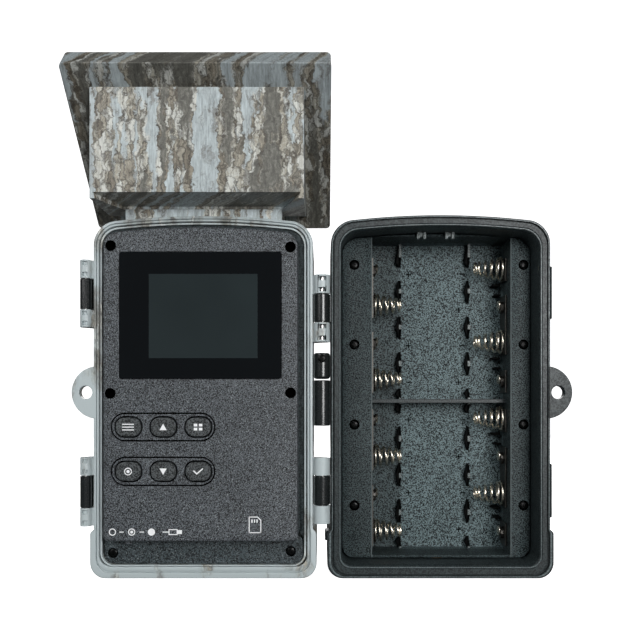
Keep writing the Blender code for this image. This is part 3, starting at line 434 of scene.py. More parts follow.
def board_material():
    """Green solder mask over a maze of slightly lighter tracks."""
    s = Shader("circuit_board", 0.35)
    cells = s.voronoi(s.coords(), 420, "DISTANCE_TO_EDGE")
    tracks = s.ramp(cells, ((0.05, 1.0), (0.09, 0.0)))
    tone = s.mix(tracks, (0.012, 0.075, 0.03), (0.03, 0.16, 0.06))
    s.color(s.mix(s.ramp(s.noise(s.coords(), 300), ((0.6, 0.0), (0.64, 1.0))), tone, (0.35, 0.28, 0.14)))
    return s.material


def fresnel_material():
    """Milky sensor cover, ruled into small lens fields; the grooves between them are painted darker, a
    painted shade.
    """
    s = Shader("sensor_white", 0.35)
    axes = s.split(s.coords())
    s.bsdf.inputs["Subsurface Weight"].default_value = 0.2
    s.bsdf.inputs["Subsurface Radius"].default_value = (0.003, 0.003, 0.003)

    def groove(axis, pitch):
        share = s.math("FRACT", s.math("DIVIDE", s.math("ADD", axis, 1.0), pitch))
        return s.ramp(share, ((0.0, 0.0), (0.08, 1.0), (0.92, 1.0), (1.0, 0.0)))

    rows = s.mix(1.0, groove(axes["X"], 0.0042), groove(axes["Z"], 0.006), "MULTIPLY")
    s.color(s.mix(rows, (0.50, 0.52, 0.52), (0.74, 0.76, 0.75)))
    s.bump(rows, 0.5, 0.0004)
    return s.material


MATERIALS = {}


def make_materials():
    tilt = math.radians(PLATE_TILT)
    MATERIALS.update({
        "bark": bark_material("bark_front", pale_rim=True),
        # The neck, box and plate barks are lit and shaded copies of the front bark: painted light on the
        # neck, a little painted shade on the box and a deep painted shade on the plate.
        "bark_neck": bark_material("bark_neck", offset=(0.4, 0.1, 0), painted_light_factor=1.12, lane_rate=230.0, bias=0.07),
        "bark_box": bark_material("bark_box", offset=(0.213, 0.05, 0.02), painted_light_factor=0.96),
        "bark_plate": bark_material("bark_plate", tilt=tilt + math.radians(90), offset=(0.66, 0.31, 0.12),
                                    painted_light_factor=0.64, lane_rate=105.0, bias=-0.02),
        "panel": grain_material("panel_black", (0.001, 0.0012, 0.0015), (0.106, 0.118, 0.131), 0.5, 2500,
                                glint=1.0),
        "strip": grain_material("strip_black", (0.001, 0.0015, 0.002), (0.066, 0.084, 0.091), 0.36, 2400,
                                glint=0.7),
        # The tray's bay floor carries a painted sheen, and its shelf edges a painted highlight.
        "tray": grain_material("tray_black", (0.001, 0.0014, 0.0017), (0.058, 0.080, 0.084), 0.5, 2350,
                               glint=0.15, specular=0.15, floor_sheen=(25.0, 2.5),
                               edge_highlights=((64.75, 65.2), (119.7, 120.15))),
        "case": grain_material("case_black", (0.006, 0.009, 0.010), (0.032, 0.043, 0.045), 0.42,
                               strength=0.2),
        "key": grain_material("key_black", (0.004, 0.005, 0.005), (0.085, 0.094, 0.098), 0.5, strength=0.25),
        "barrel": grain_material("barrel_black", (0.003, 0.004, 0.004), (0.014, 0.017, 0.018), 0.22,
                                 strength=0.12, specular=0.55),
        # Paler grey for the thin rim rings: a painted highlight.
        "rim_glint": grain_material("rim_highlight_line", (0.06, 0.075, 0.078), (0.14, 0.17, 0.175), 0.35, strength=0.1),
        "gasket": grain_material("gasket_black", (0.012, 0.016, 0.017), (0.040, 0.052, 0.055), 0.6, 1400, 0.2,
                                 specular=0.15),
        # Paler grey for rib caps and top hooks: painted highlights and glints.
        "cap": grain_material("cap_painted_light", (0.05, 0.06, 0.06), (0.17, 0.20, 0.20), 0.4, strength=0.1),
        # Near-black for the rib flanks: painted shade.
        "rib": grain_material("rib_shade_black", (0.0006, 0.0008, 0.0008), (0.002, 0.0026, 0.0026), 0.6,
                              strength=0.05, specular=0.05),
        "bezel": grain_material("bezel_black", (0.008, 0.008, 0.009), (0.022, 0.022, 0.024), 0.4,
                                strength=0.2),
        "screen": window_material("screen_gloss", (-19.6, 21.1, 83.7, 115.2), (0.0165, 0.0235, 0.0252)),
        "ir_cover": window_material("ir_cover", (-22, 22, 98, 122), (0.010, 0.004, 0.004)),
        "display": smooth_material("display_grey", (0.018, 0.024, 0.028), 0.3),
        "board": board_material(),
        "contact": smooth_material("contact_nickel", (0.075, 0.072, 0.066), 0.4, 1.0, 0.25, 900),
        "steel": smooth_material("contact_steel", (0.74, 0.71, 0.66), 0.16, 1.0, 0.1, 900),
        "spring": smooth_material("spring_nickel", (0.86, 0.80, 0.68), 0.26, 1.0, 0.1, 1200),
        "pin": smooth_material("pin_steel", (0.40, 0.39, 0.38), 0.28, 1.0, 0.15, 500, (1, 1, 0.05)),
        "screw": smooth_material("screw_black", (0.002, 0.0025, 0.0025), 0.28, 0.0, 0.3, 700, specular=0.12),
        # Near-black for wells, grooves and gaps: painted shade where they are deep.
        "hole": smooth_material("hole_painted_shade", (0.0008, 0.0008, 0.0008), 0.9, specular=0.0),
        "brass": smooth_material("insert_brass", (0.74, 0.52, 0.24), 0.3, 1.0, 0.15, 600, (1, 1, 0.2)),
        "print": smooth_material("print_white", (0.80, 0.81, 0.82), 0.5, wear=0.05),
        "fresnel": fresnel_material(),
        "glass": smooth_material("lens_glass", (0.006, 0.008, 0.016), 0.03),
        "solar": solar_material(),
        "sleeve": smooth_material("cell_sleeve", (0.05, 0.16, 0.42), 0.35),
    })


# Outlines

def arc(centre, radius, start, end, steps):
    """Points along a circular arc between two angles in degrees."""
    points = []
    for step in range(steps + 1):
        angle = math.radians(start + (end - start) * step / steps)
        points.append((centre[0] + radius * math.cos(angle), centre[1] + radius * math.sin(angle)))
    return points


def rectangle(left, right, low, high, radius=0.0, steps=6):
    """Outline of a rectangle, with round corners where a radius is given."""
    if not radius:
        return [(right, high), (left, high), (left, low), (right, low)]
    outline = arc((right - radius, high - radius), radius, 0, 90, steps)
    outline += arc((left + radius, high - radius), radius, 90, 180, steps)
    outline += arc((left + radius, low + radius), radius, 180, 270, steps)
    outline += arc((right - radius, low + radius), radius, 270, 360, steps)
    return outline


def housing_outline(middle, half_width, low, high, low_radius, high_radius, flare=0.0):
    """Outline of a housing: round corners, a shallow crown on top and a foot that may stand wider."""
    foot = half_width + flare
    half = arc((foot - low_radius, low + low_radius), low_radius, 270, 360, 10)
    half += [(foot, FLARE_TOP - 1.6), (half_width + flare * 0.7, FLARE_TOP - 0.9), (half_width, FLARE_TOP)]
    shoulder = half_width - high_radius
    half += arc((shoulder, high - high_radius), high_radius, 0, 90, 12)
    half += [(shoulder * share / 8, high) for share in range(7, 0, -1)]
    centre = (low + high) / 2
    half = [(x, z - x * x / (2 * CROWN_RADIUS) if z > centre else z) for x, z in half]
    other = [(-x, z) for x, z in reversed(half)]
    return [(middle + x, z) for x, z in half + [(0.0, high)] + other]


# Meshes and pieces

SWEEP = {
    "X": Matrix(((0, 0, 1, 0), (1, 0, 0, 0), (0, 1, 0, 0), (0, 0, 0, 1))),
    "Y": Matrix(((1, 0, 0, 0), (0, 0, -1, 0), (0, 1, 0, 0), (0, 0, 0, 1))),
    "Z": Matrix.Identity(4),
}


def new_mesh(shape):
    """Ends a bmesh: faces turned outwards, and data handed over."""
    bmesh.ops.remove_doubles(shape, verts=shape.verts, dist=0.000002)
    bmesh.ops.recalc_face_normals(shape, faces=shape.faces)
    mesh = bpy.data.meshes.new("mesh")
    shape.to_mesh(mesh)
    shape.free()
    return mesh


def add_prism(shape, outline, low, high, axis="Y"):
    """Adds an outline swept along one axis; its two coordinates are the other axes in order."""
    kept = [point for index, point in enumerate(outline) if math.dist(point, outline[index - 1]) > 0.005]
    start = -low if axis == "Y" else low
    verts = [shape.verts.new(SWEEP[axis] @ Vector((u, v, start)) * MM) for u, v in kept]
    face = shape.faces.new(verts)
    moved = bmesh.ops.extrude_face_region(shape, geom=[face])["geom"]
    offset = SWEEP[axis] @ Vector((0, 0, (low - high) if axis == "Y" else (high - low)))
    ends = [item for item in moved if isinstance(item, bmesh.types.BMVert)]
    bmesh.ops.translate(shape, verts=ends, vec=offset * MM)


def prism(outline, low, high, axis="Y"):
    shape = bmesh.new()
    add_prism(shape, outline, low, high, axis)
    return new_mesh(shape)


def prisms(*items):
    """One mesh of several prisms, each given as (outline, low, high, axis)."""
    shape = bmesh.new()
    for outline, low, high, axis in items:
        add_prism(shape, outline, low, high, axis)
    return new_mesh(shape)


def loft(rings):
    """A closed mesh through outlines of equal point counts, each with its own Y."""
    shape = bmesh.new()
    rows = [[shape.verts.new(Vector((x, y, z)) * MM) for x, z in outline] for outline, y in rings]
    count = len(rows[0])
    for near, far in zip(rows, rows[1:]):
        for index in range(count):
            other = (index + 1) % count
            shape.faces.new((near[index], near[other], far[other], far[index]))
    shape.faces.new(rows[0])
    shape.faces.new(list(reversed(rows[-1])))
    return new_mesh(shape)


def turned(profile, centre, steps=40):
    """A profile of radius and height turned about a line along Y; it may end on the line."""
    shape = bmesh.new()
    points = [shape.verts.new((radius * MM, 0, height * MM)) for radius, height in profile]
    edges = [shape.edges.new(pair) for pair in zip(points, points[1:])]
    if profile[0][0] > 0:
        edges.append(shape.edges.new((points[-1], points[0])))
    bmesh.ops.spin(shape, geom=points + edges, cent=(0, 0, 0), axis=(0, 0, 1), angle=2 * math.pi,
                   steps=steps, use_merge=True)
    along_y = Matrix.Rotation(math.radians(-90), 4, "X")
    shape.transform(Matrix.Translation(Vector(centre) * MM) @ along_y)
    return new_mesh(shape)


def add_piece(name, mesh, material, body, replaces=(), bevel=0.0, segments=2, angle=32):
    """Puts a mesh in the scene as a piece that rides on a body."""
    piece = bpy.data.objects.new(name, mesh)
    bpy.context.scene.collection.objects.link(piece)
    mesh.materials.clear()
    mesh.materials.append(MATERIALS[material])
    if bevel:
        soften = piece.modifiers.new("soften", "BEVEL")
        soften.width = bevel * MM
        soften.segments = segments
        soften.limit_method = "ANGLE"
        soften.angle_limit = math.radians(angle)
        soften.harden_normals = True
    mesh.shade_smooth()
    mesh.set_sharp_from_angle(angle=math.radians(angle))
    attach(piece, body)
    if replaces:
        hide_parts(*replaces)
    return piece


def carved(mesh, tools):
    """The mesh with each tool mesh cut out of it in turn."""
    base = bpy.data.objects.new("base", mesh)
    bpy.context.scene.collection.objects.link(base)
    helpers = []
    for tool in tools:
        helper = bpy.data.objects.new("helper", tool)
        bpy.context.scene.collection.objects.link(helper)
        helpers.append(helper)
        boolean = base.modifiers.new("carve", "BOOLEAN")
        boolean.operation = "DIFFERENCE"
        boolean.object = helper
        boolean.solver = "EXACT"
    result = bpy.data.meshes.new_from_object(base.evaluated_get(bpy.context.evaluated_depsgraph_get()))
    for item in helpers + [base]:
        bpy.data.objects.remove(item)
    return result


def restyle(material, *nodes):
    """Gives CAD nodes a finished material."""
    for name in nodes:
        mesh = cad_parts[name].data
        mesh.materials.clear()
        mesh.materials.append(MATERIALS[material])


# Front housing

def front_ring(inset, below):
    """Housing outline at an inset from the outer wall, at a depth; the foot's flare fades inside."""
    low = inset * 2.09 if inset < 2.2 else 4.6 + (inset - 2.2)
    flare = FLARE * max(0.0, 1 - inset / 1.2)
    radius = max(1.0, 8 - inset * 0.7)
    outline = housing_outline(0, HALF_WIDTH - inset, low, FRONT_TOP - inset, max(1.0, radius - 2), radius,
                              flare)
    return outline, depth(below)


def rounded_back(maker, back, radius=4.0, steps=6):
    """Rings that round off the closed face of a housing, from its middle out."""
    rings = []
    for step in range(steps + 1):
        angle = math.radians(90 * step / steps)
        rings.append(maker(radius * (1 - math.sin(angle)), back - radius * (1 - math.cos(angle))))
    return rings


def back_ring(middle, top):
    """A maker of rings for the outside, where an inset keeps the flare."""
    def ring(inset, below):
        radius = 8 - inset * 0.6
        outline = housing_outline(middle, HALF_WIDTH - inset, inset, top - inset, radius - 2, radius, FLARE)
        return outline, depth(below)
    return ring


def front_housing():
    rings = rounded_back(back_ring(0, FRONT_TOP), FRONT_BACK)
    rim = ((0.0, 0.9), (0.12, 0.55), (0.4, 0.38), (1.0, 0.34), (1.1, 0.55), (1.12, 1.1), (1.35, 1.1),
           (1.38, 0.4), (1.55, 0.2), (2.0, 0.2), (2.15, 0.4), (2.2, 1.0), (2.2, 2.5))
    rings += [front_ring(inset, below) for inset, below in rim]
    for half, low, high, below in ((36.6, 4.7, 133.9, 2.6), (36.6, 4.7, 133.9, 9.0), (39.2, 2.7, 135.5, 9.5),
                                   (39.2, 2.7, 135.5, 43.4)):
        rings.append((housing_outline(0, half, low, high, 3.0, 5.0), depth(below)))
    through = [
        prism(rectangle(-30.3, 30.3, 62.7, 128.3, 5), FRONT_Y - 1, FRONT_Y + 1),
        prism(rectangle(-27, 27, 66, 125, 3), FRONT_Y - 5, FRONT_Y),
        prism(rectangle(-17.3, 17.3, 26.7, 51.3, 0.4), FRONT_Y - 5, FRONT_Y + 1),
        prism(rectangle(-39.0, 39.0, 4.7, 16.8, 3), depth(2.0), depth(9.2)),
    ]
    shell = carved(loft(rings), through)
    add_piece("front_housing", shell, "bark", "front_housing", ("front_shell",))


def knuckle_items(side, low, high):
    """Outlines of a hinge barrel and the leaf that ties it to a wall."""
    wall = HINGE_X + side * 4.4
    leaf = [
        (HINGE_X, depth(0)), (HINGE_X + side * 1.5, depth(-1.2)), (HINGE_X + side * 3.0, depth(0.4)),
        (wall, depth(0.6)), (wall, depth(8)), (HINGE_X + side * 3.0, depth(6)),
        (HINGE_X - side * 1.4, depth(2.2)),
    ]
    barrel = arc((HINGE_X, PARTING_Y), HINGE_KNUCKLE_RADIUS, 0, 360, 36)
    return (barrel, low, high, "Z"), (leaf, low, high, "Z")


def pin_bore(low, high):
    """The hole for a hinge pin between two heights, run out past both."""
    return prism(arc((HINGE_X, PARTING_Y), PIN_BORE_RADIUS, 0, 360, 32), low - 1, high + 1, "Z")


def hinge_parts():
    for name, low, high, core in (("upper_top", 108.3, 115.4, True), ("upper_base", 90.0, 97.3, True),
                                  ("lower_top", 39.5, 46.2, False), ("lower_base", 21.2, 28.1, False)):
        barrel, leaf = knuckle_items(-1, low, high)
        tools = [pin_bore(low, high)]
        if core:
            for floor in (low + 0.7, high - 2.2):
                notch = rectangle(HINGE_X - 1.5, HINGE_X + 1.5, floor, floor + 1.5)
                tools.append(prism(notch, depth(-6), depth(-1.3)))
        mesh = carved(prism(*barrel), tools)
        add_piece(f"knuckle_barrel_{name}", mesh, "bark", "front_housing", bevel=0.15)
        leaf_mesh = carved(prism(*leaf), [pin_bore(low, high)])
        add_piece(f"knuckle_leaf_{name}", leaf_mesh, "bark", "front_housing", bevel=0.2)
    for name, low, high in (("upper", 97.6, 108.0), ("lower", 28.4, 39.2)):
        barrel, leaf = knuckle_items(1, low, high)
        for part, shape, material, bevel in (("knuckle", barrel, "barrel", 0.25),
                                             ("leaf", leaf, "case", 0.2)):
            mesh = carved(prism(*shape), [pin_bore(low, high)])
            add_piece(f"case_{part}_{name}", mesh, material, "battery_case", bevel=bevel)
    for name, side, low, high, body in (("upper", -1, 76.0, 85.9, "front_housing"),
                                        ("lower", 1, 58.3, 75.5, "battery_case")):
        foot = HINGE_X + side * HINGE_KNUCKLE_RADIUS
        leaf = [
            (HINGE_X + side * 0.5, depth(0.5)), (foot, depth(0.5)), (foot, depth(8)),
            (HINGE_X - side * 0.5, depth(4)), (HINGE_X - side * 1.8, depth(2)),
        ]
        barrel = arc((HINGE_X, PARTING_Y), HINGE_KNUCKLE_RADIUS, 0, 360, 36)
        add_piece(f"conduit_{name}", prism(barrel, low, high, "Z"), "barrel", body, (f"cable_guide_{name}",),
                  bevel=1.0 if name == "upper" else 0.35, segments=3)
        add_piece(f"conduit_foot_{name}", prism(leaf, low + 0.6, high - 0.6, "Z"), "barrel", body, bevel=0.2)
    add_screw("conduit_screw", (HINGE_X, 83.6), depth(-3.05), 1.5, "front_housing")


def ear_parts():
    for name, middle, side, material, body in (("front", 0, -1, "bark", "front_housing"),
                                               ("case", CASE_X, 1, "case", "battery_case")):
        centre = (middle + side * (EAR_REACH - EAR_RADIUS), EAR_Z)
        ear = prism(arc(centre, EAR_RADIUS, 0, 360, 64), depth(0.25), depth(4.0))
        wall = middle + side * (HALF_WIDTH - 1.0)
        left, right = sorted((wall, wall - side * 15))
        inner = prism(rectangle(left, right, 55, 87), depth(-2), depth(6))
        hole_x = middle + side * (EAR_REACH - EAR_HOLE_INSET)
        hole = prism(arc((hole_x, EAR_Z), EAR_HOLE_RADIUS, 0, 360, 32), depth(-1), depth(6))
        add_piece(f"strap_ear_{name}", carved(ear, [inner, hole]), material, body, bevel=0.3)
    for name, limits in (("upper", (95.6, 102.3, 114.1, 121.1)), ("lower", (20.2, 27.1, 39.4, 46.4))):
        for number, (low, high) in enumerate((limits[:2], limits[2:])):
            wall = -HALF_WIDTH + 0.6
            web = [
                (wall, depth(0.7)), (LATCH_X, depth(-1.8)), (LATCH_X - 1.5, depth(-0.6)),
                (LATCH_X - 1.6, depth(1.0)), (wall, depth(8)),
            ]
            notches = [rectangle(LATCH_X - 1.0, LATCH_X + 1.0, floor, floor + 1.5)
                       for floor in (low + 0.7, high - 2.2)]
            barrel = prism(arc((LATCH_X, PARTING_Y), LATCH_KNUCKLE_RADIUS, 0, 360, 32), low, high, "Z")
            mesh = carved(barrel, [prism(notch, depth(-4), depth(-1.0)) for notch in notches])
            add_piece(f"latch_ear_{name}_{number}", mesh, "bark", "front_housing", bevel=0.3)
            web_mesh = prism(web, low, high, "Z")
            add_piece(f"latch_web_{name}_{number}", web_mesh, "bark", "front_housing", bevel=0.3)


# Screws and prints

def add_screw(name, spot, face, radius, body, dome=0.35):
    """A cross-head screw whose head faces the open side, with its edge at a Y."""
    x, z = spot
    profile = [(0, 0), (radius * 0.95, 0), (radius, 0.12), (radius, 0.45)]
    profile += [(radius * math.cos(a), 0.45 + dome * math.sin(a)) for a in (0.2, 0.4, 0.7, 1.1)]
    profile += [(0, 0.45 + dome)]
    head = turned([(r, -h) for r, h in profile], (x, face, z), steps=28)
    slot = radius * 0.58
    width = radius * 0.13
    tools = [
        prism(rectangle(x - slot, x + slot, z - width, z + width), face - 1.5, face - 0.25),
        prism(rectangle(x - width, x + width, z - slot, z + slot), face - 1.5, face - 0.25),
    ]
    add_piece(name, carved(head, tools), "screw", body)


def add_print(name, items, face, body="front_housing"):
    """White printed marks, as flat outlines on a face that looks to the open side."""
    thickness = 0.04
    marks = [(outline, face - thickness, face + 0.02, "Y") for outline in items]
    add_piece(name, prisms(*marks), "print", body)


def bar(left, right, low, high):
    return rectangle(left, right, low, high)


def ring_outline(x, z, radius, width, part=(0, 360)):
    """A ring or a piece of one, as one outline."""
    outer = arc((x, z), radius, part[0], part[1], 24)
    inner = arc((x, z), radius - width, part[1], part[0], 24)
    return outer + inner


def frame_bars(left, right, low, high, width):
    """The four sides of a rectangle drawn with a line of a given width."""
    return [
        bar(left, right, high - width, high), bar(left, right, low, low + width),
        bar(left, left + width, low + width, high - width),
        bar(right - width, right, low + width, high - width),
    ]


# Control panel

def button_outline(x, z, margin=0.0):
    width, height = 4.75 + margin, 3.55 + margin
    return rectangle(x - width, x + width, z - height, z + height, 3.2 + margin, 8)


def button_marks(name, x, z):
    """A plain sign for each key in place of a word."""
    if name == "up":
        return [[(x - 1.35, z - 1.15), (x + 1.35, z - 1.15), (x, z + 1.25)]]
    if name == "down":
        return [[(x - 1.35, z + 1.15), (x, z - 1.25), (x + 1.35, z + 1.15)]]
    if name == "menu":
        return [bar(x - 2.2, x + 2.2, z + shift - 0.19, z + shift + 0.19) for shift in (-1.05, 0, 1.05)]
    if name == "mode":
        corners = ((-1.15, 0.75), (0.75, 0.75), (-1.15, -0.75), (0.75, -0.75))
        return [bar(x + u - 0.45, x + u + 0.85, z + v - 0.5, z + v + 0.5) for u, v in corners]
    if name == "shot":
        return [ring_outline(x, z, 1.45, 0.35, (2, 358)), arc((x, z), 0.62, 0, 345, 16)]
    tick = ((-1.9, 0.1), (-1.55, 0.5), (-0.5, -0.55), (1.7, 1.3), (1.95, 0.95), (-0.5, -1.2))
    return [[(x + u, z + v) for u, v in tick]]


def key_row(low, high, margin):
    """The outline with round ends that frames a row of keys."""
    radius = (high - low) / 2 - margin
    return rectangle(
        KEY_FIELD[0] + margin, KEY_FIELD[1] - margin, low + margin, high - margin, radius - 0.01, 14)


def key_groove(low, high, near, far):
    """The narrow ring around a row of keys, between two depths."""
    return carved(prism(key_row(low, high, 0.25), depth(near), depth(far)),
                  [prism(key_row(low, high, 0.85), depth(near - 1), depth(far + 1))])


def control_panel():
    """The panel block and the strip below it, with the window seat, key grooves and screw wells."""
    rings = []
    for inset, below in ((0, 12.0), (0, PANEL_FACE + 0.8), (0.06, PANEL_FACE + 0.45),
                         (0.24, PANEL_FACE + 0.18), (0.5, PANEL_FACE + 0.05), (0.8, PANEL_FACE)):
        outline = housing_outline(-0.3, 36.5 - inset, 15 + inset, 132.8 - inset, 2 - inset, 5 - inset)
        rings.append((outline, depth(below)))
    # The first outline folds back on itself near FLARE_TOP, so its cut leaves the block solid inside.
    tools = [
        prism(housing_outline(0, 34.4, 16.8, 131.7, 2, 4), depth(-2.7), depth(13)),
        prism(rectangle(-30.8, 30.2, 75.7, 123.6, 1.0), depth(-6), depth(-3.25)),
        prism(rectangle(-25.5, 27.0, 78.6, 120.4), depth(-4), depth(-2)),
        prism(rectangle(-29.6, -22.2, depth(-1.9), depth(0.5)), 14, 17.8, "Z"),
        prism(rectangle(-13.8, -5.6, depth(-2.3), depth(1.3)), 14, 17.8, "Z"),
        prism(rectangle(7.7, 32.5, depth(-1.8), depth(1.3)), 14, 17.8, "Z"),
    ]
    tools += [prism(arc(spot, SCREW_WELL_RADIUS, 0, 360, 32), depth(-6), depth(-0.5))
              for spot in PANEL_SCREWS]
    for low, high in KEY_ROWS:
        tools += [prism(button_outline(x, (low + high) / 2, KEY_GAP), depth(-6), depth(KEY_HOLE_FLOOR))
                  for x in BUTTON_X]
        tools.append(key_groove(low, high, -6, -3.2))
    add_piece("panel_block", carved(loft(rings), tools), "panel", "front_housing", ("control_panel",))
    strip = carved(prism(rectangle(-38.2, 38.0, 5.3, 16.5, 3.0), depth(2.0), depth(4.2)),
                   [prism(arc(spot, 1.95, 0, 360, 28), depth(0), depth(6)) for spot in STRIP_SCREWS])
    add_piece("panel_strip", strip, "strip", "front_housing", ("control_panel",),
              bevel=0.25)
    # The first cut folds back in the same way and leaves its own body behind. The block hides all of it
    # but a thin rim.
    seal = carved(prism(housing_outline(0, 38.3, 5.0, 134.6, 4.4, 5.6), depth(1.2), depth(2.2)),
                  [prism(housing_outline(0, 37.0, 17.2, 133.3, 2.5, 5.0), depth(0), depth(4)),
                   prism(rectangle(-38.3, 38.1, 5.2, 17.4, 2.5), depth(0), depth(4))])
    add_piece("seal", seal, "gasket", "front_housing", ("seal_gasket",), bevel=0.2)
    lip = carved(prism(housing_outline(0, 39.15, 4.75, 135.45, 5.0, 6.2), depth(0.3), depth(2.4)),
                 [prism(housing_outline(0, 38.45, 5.25, 134.75, 4.6, 5.7), depth(-1), depth(4))])
    add_piece("seal_lip", lip, "bark", "front_housing", bevel=0.15)


def keypad():
    backing = prism(rectangle(-34.1, 5.5, 35.6, 63.5), depth(-2.65), depth(-2.45))
    holes = []
    for row, (names, (low, high)) in enumerate(zip(BUTTON_NAMES, KEY_ROWS)):
        middle = (low + high) / 2
        # A near-black ring at the floor of each key groove: painted shade in the groove.
        add_piece(f"key_groove_{row + 1}", key_groove(low, high, -3.45, -3.21), "hole", "front_housing")
        for name, x in zip(names, BUTTON_X):
            cap = prism(button_outline(x, middle), depth(KEY_FACE), depth(KEY_ROOT))
            body = f"button_{name}"
            add_piece(f"key_{name}", cap, "key", body, (body,), bevel=0.45, segments=3)
            add_print(f"key_mark_{name}", button_marks(name, x, middle), depth(KEY_FACE), body)
            holes.append(prism(button_outline(x, middle, 0.1), depth(-4), depth(0)))
    # A near-black sheet behind the keys: painted shade in the gaps around them.
    add_piece("key_backing", carved(backing, holes), "hole", "front_housing")


def panel_prints():
    face = depth(PANEL_FACE)
    z = 18.6
    marks = [ring_outline(-33.2, z, 1.35, 0.36, (2, 358)), bar(-30.6, -29.0, z - 0.18, z + 0.18),
             ring_outline(-26.0, z, 1.35, 0.36, (2, 358)), arc((-26.0, z), 0.55, 0, 345, 16),
             bar(-23.0, -21.4, z - 0.18, z + 0.18), arc((-18.6, z), 1.35, 0, 350, 24)]
    add_print("switch_marks", marks, face)
    plug = frame_bars(-12.2, -8.8, z - 1.1, z + 1.1, 0.36)
    plug += [bar(-8.8, -7.2, z - 0.75, z + 0.75), bar(-14.4, -12.2, z - 0.18, z + 0.18)]
    add_print("plug_marks", plug, face)
    left, right, low, high = 17.8, 22.5, 18.2, 24.4
    card = [bar(left, left + 0.35, low, high), bar(left, right, low, low + 0.35),
            bar(left, right - 1.3, high - 0.35, high), bar(right - 0.35, right, low, high - 1.4),
            [(right - 1.4, high - 0.35), (right - 1.3, high), (right, high - 1.3),
             (right - 0.35, high - 1.5)]]
    card += [bar(left + 1.0 + 0.95 * step, left + 1.45 + 0.95 * step, high - 2.3, high - 1.1)
             for step in range(3)]
    add_print("card_marks", card, face)


def panel_screws():
    """Wells behind the four corner holes, lined in near-black as a painted shade for their depth, and two
    small screws in the strip, each ringed in near-black as a painted shade in its gap.
    """
    for number, (x, z) in enumerate(PANEL_SCREWS):
        floor, rim = depth(-0.6), depth(-4.3)
        profile = [(0, floor), (2.04, floor), (2.04, rim), (1.96, rim), (1.96, floor - 0.3), (0, floor - 0.3)]
        add_piece(f"screw_well_{number + 1}", turned(profile, (x, 0, z), steps=28), "hole", "front_housing")
    for number, spot in enumerate(STRIP_SCREWS):
        add_screw(f"strip_screw_{number + 1}", spot, depth(3.0), 1.6, "front_housing")
        ring = prism(ring_outline(*spot, 1.93, 0.3, (2, 358)), depth(3.1), depth(4.2))
        add_piece(f"strip_screw_rim_{number + 1}", ring, "hole", "front_housing")


# Battery case

def case_ring(inset, below):
    """Battery case outline at an inset from the outer wall, at a depth."""
    low = inset * 5.3 / 4.3
    high = CASE_TOP - inset * 4.5 / 4.3
    flare = FLARE * max(0.0, 1 - inset / 1.4)
    radius = max(1.0, 8 - inset * 0.45)
    return housing_outline(CASE_X, HALF_WIDTH - inset, low, high, radius - 2, radius, flare), depth(below)


def battery_case():
    rings = rounded_back(back_ring(CASE_X, CASE_TOP), CASE_BACK)
    rim = ((0.0, 1.0), (0.1, 0.5), (0.35, 0.3), (0.8, 0.3), (0.88, 0.5), (0.9, 1.3), (1.2, 1.3),
           (1.22, 0.5), (1.4, 0.22), (3.0, 0.22), (3.2, 0.4), (3.25, 1.5), (3.5, 1.5), (3.55, 0.9),
           (3.75, 0.8), (3.95, 1.0), (4.15, 1.8), (4.3, 2.3), (4.3, CASE_FLOOR))
    rings += [case_ring(inset, below) for inset, below in rim]
    insert_hole = prism(arc((91.0, -6.0), 4.1, 0, 360, 32), -1, 7, "Z")
    add_piece("battery_door", carved(loft(rings), [insert_hole]), "case", "battery_case", ("battery_case",))
    # Two thin rings on the rim in a paler grey: a painted highlight along the rim's edges.
    for name, outer, inner, near in (("inner", 3.30, 3.62, 0.45), ("outer", 0.42, 0.72, 0.25)):
        rim_glint = carved(prism(case_ring(outer, 0)[0], depth(near), depth(1.4)),
                      [prism(case_ring(inner, 0)[0], depth(-1), depth(3))])
        add_piece(f"rim_highlight_line_{name}", rim_glint, "rim_glint", "battery_case")
    edge = CASE_X + HALF_WIDTH
    for number, (low, high) in enumerate(((99.0, 119.0), (23.2, 43.6))):
        lug = [
            (edge - 0.6, depth(0.6)), (edge + 0.9, depth(1.4)), (edge + 1.2, depth(9)),
            (edge + 2.0, depth(9.6)), (edge + 2.0, depth(12.4)), (edge - 0.6, depth(13.5)),
        ]
        add_piece(f"latch_lug_{number + 1}", prism(lug, low, high, "Z"), "case", "battery_case", bevel=0.3)
    nub = prism(rectangle(46.3, 50, 14.1, 17.9), depth(3), depth(9))
    add_piece("case_nub", nub, "case", "battery_case", bevel=0.4)


def comb_profile(low, high, low_cell=None, high_cell=None):
    """Side view of a rib between two heights, hollowed by the cells above and below it."""
    floor = depth(BAY_FLOOR + 0.3)
    base = math.degrees(math.acos((BAY_FLOOR - CRADLE_DEPTH) / CRADLE_RADIUS))
    top = math.degrees(math.asin(RIB_FLANK / CRADLE_RADIUS))
    outline = [(floor, low if low_cell is None else low_cell + CRADLE_GAP)]
    if low_cell is not None:
        outline += arc((depth(CRADLE_DEPTH), low_cell), CRADLE_RADIUS, base, top, 8)
    else:
        outline.append((depth(CAP_DEPTH), low))
    if high_cell is not None:
        outline += arc((depth(CRADLE_DEPTH), high_cell), CRADLE_RADIUS, -top, -base, 8)
        outline.append((floor, high_cell - CRADLE_GAP))
    else:
        outline += [(depth(CAP_DEPTH), high), (floor, high)]
    return outline


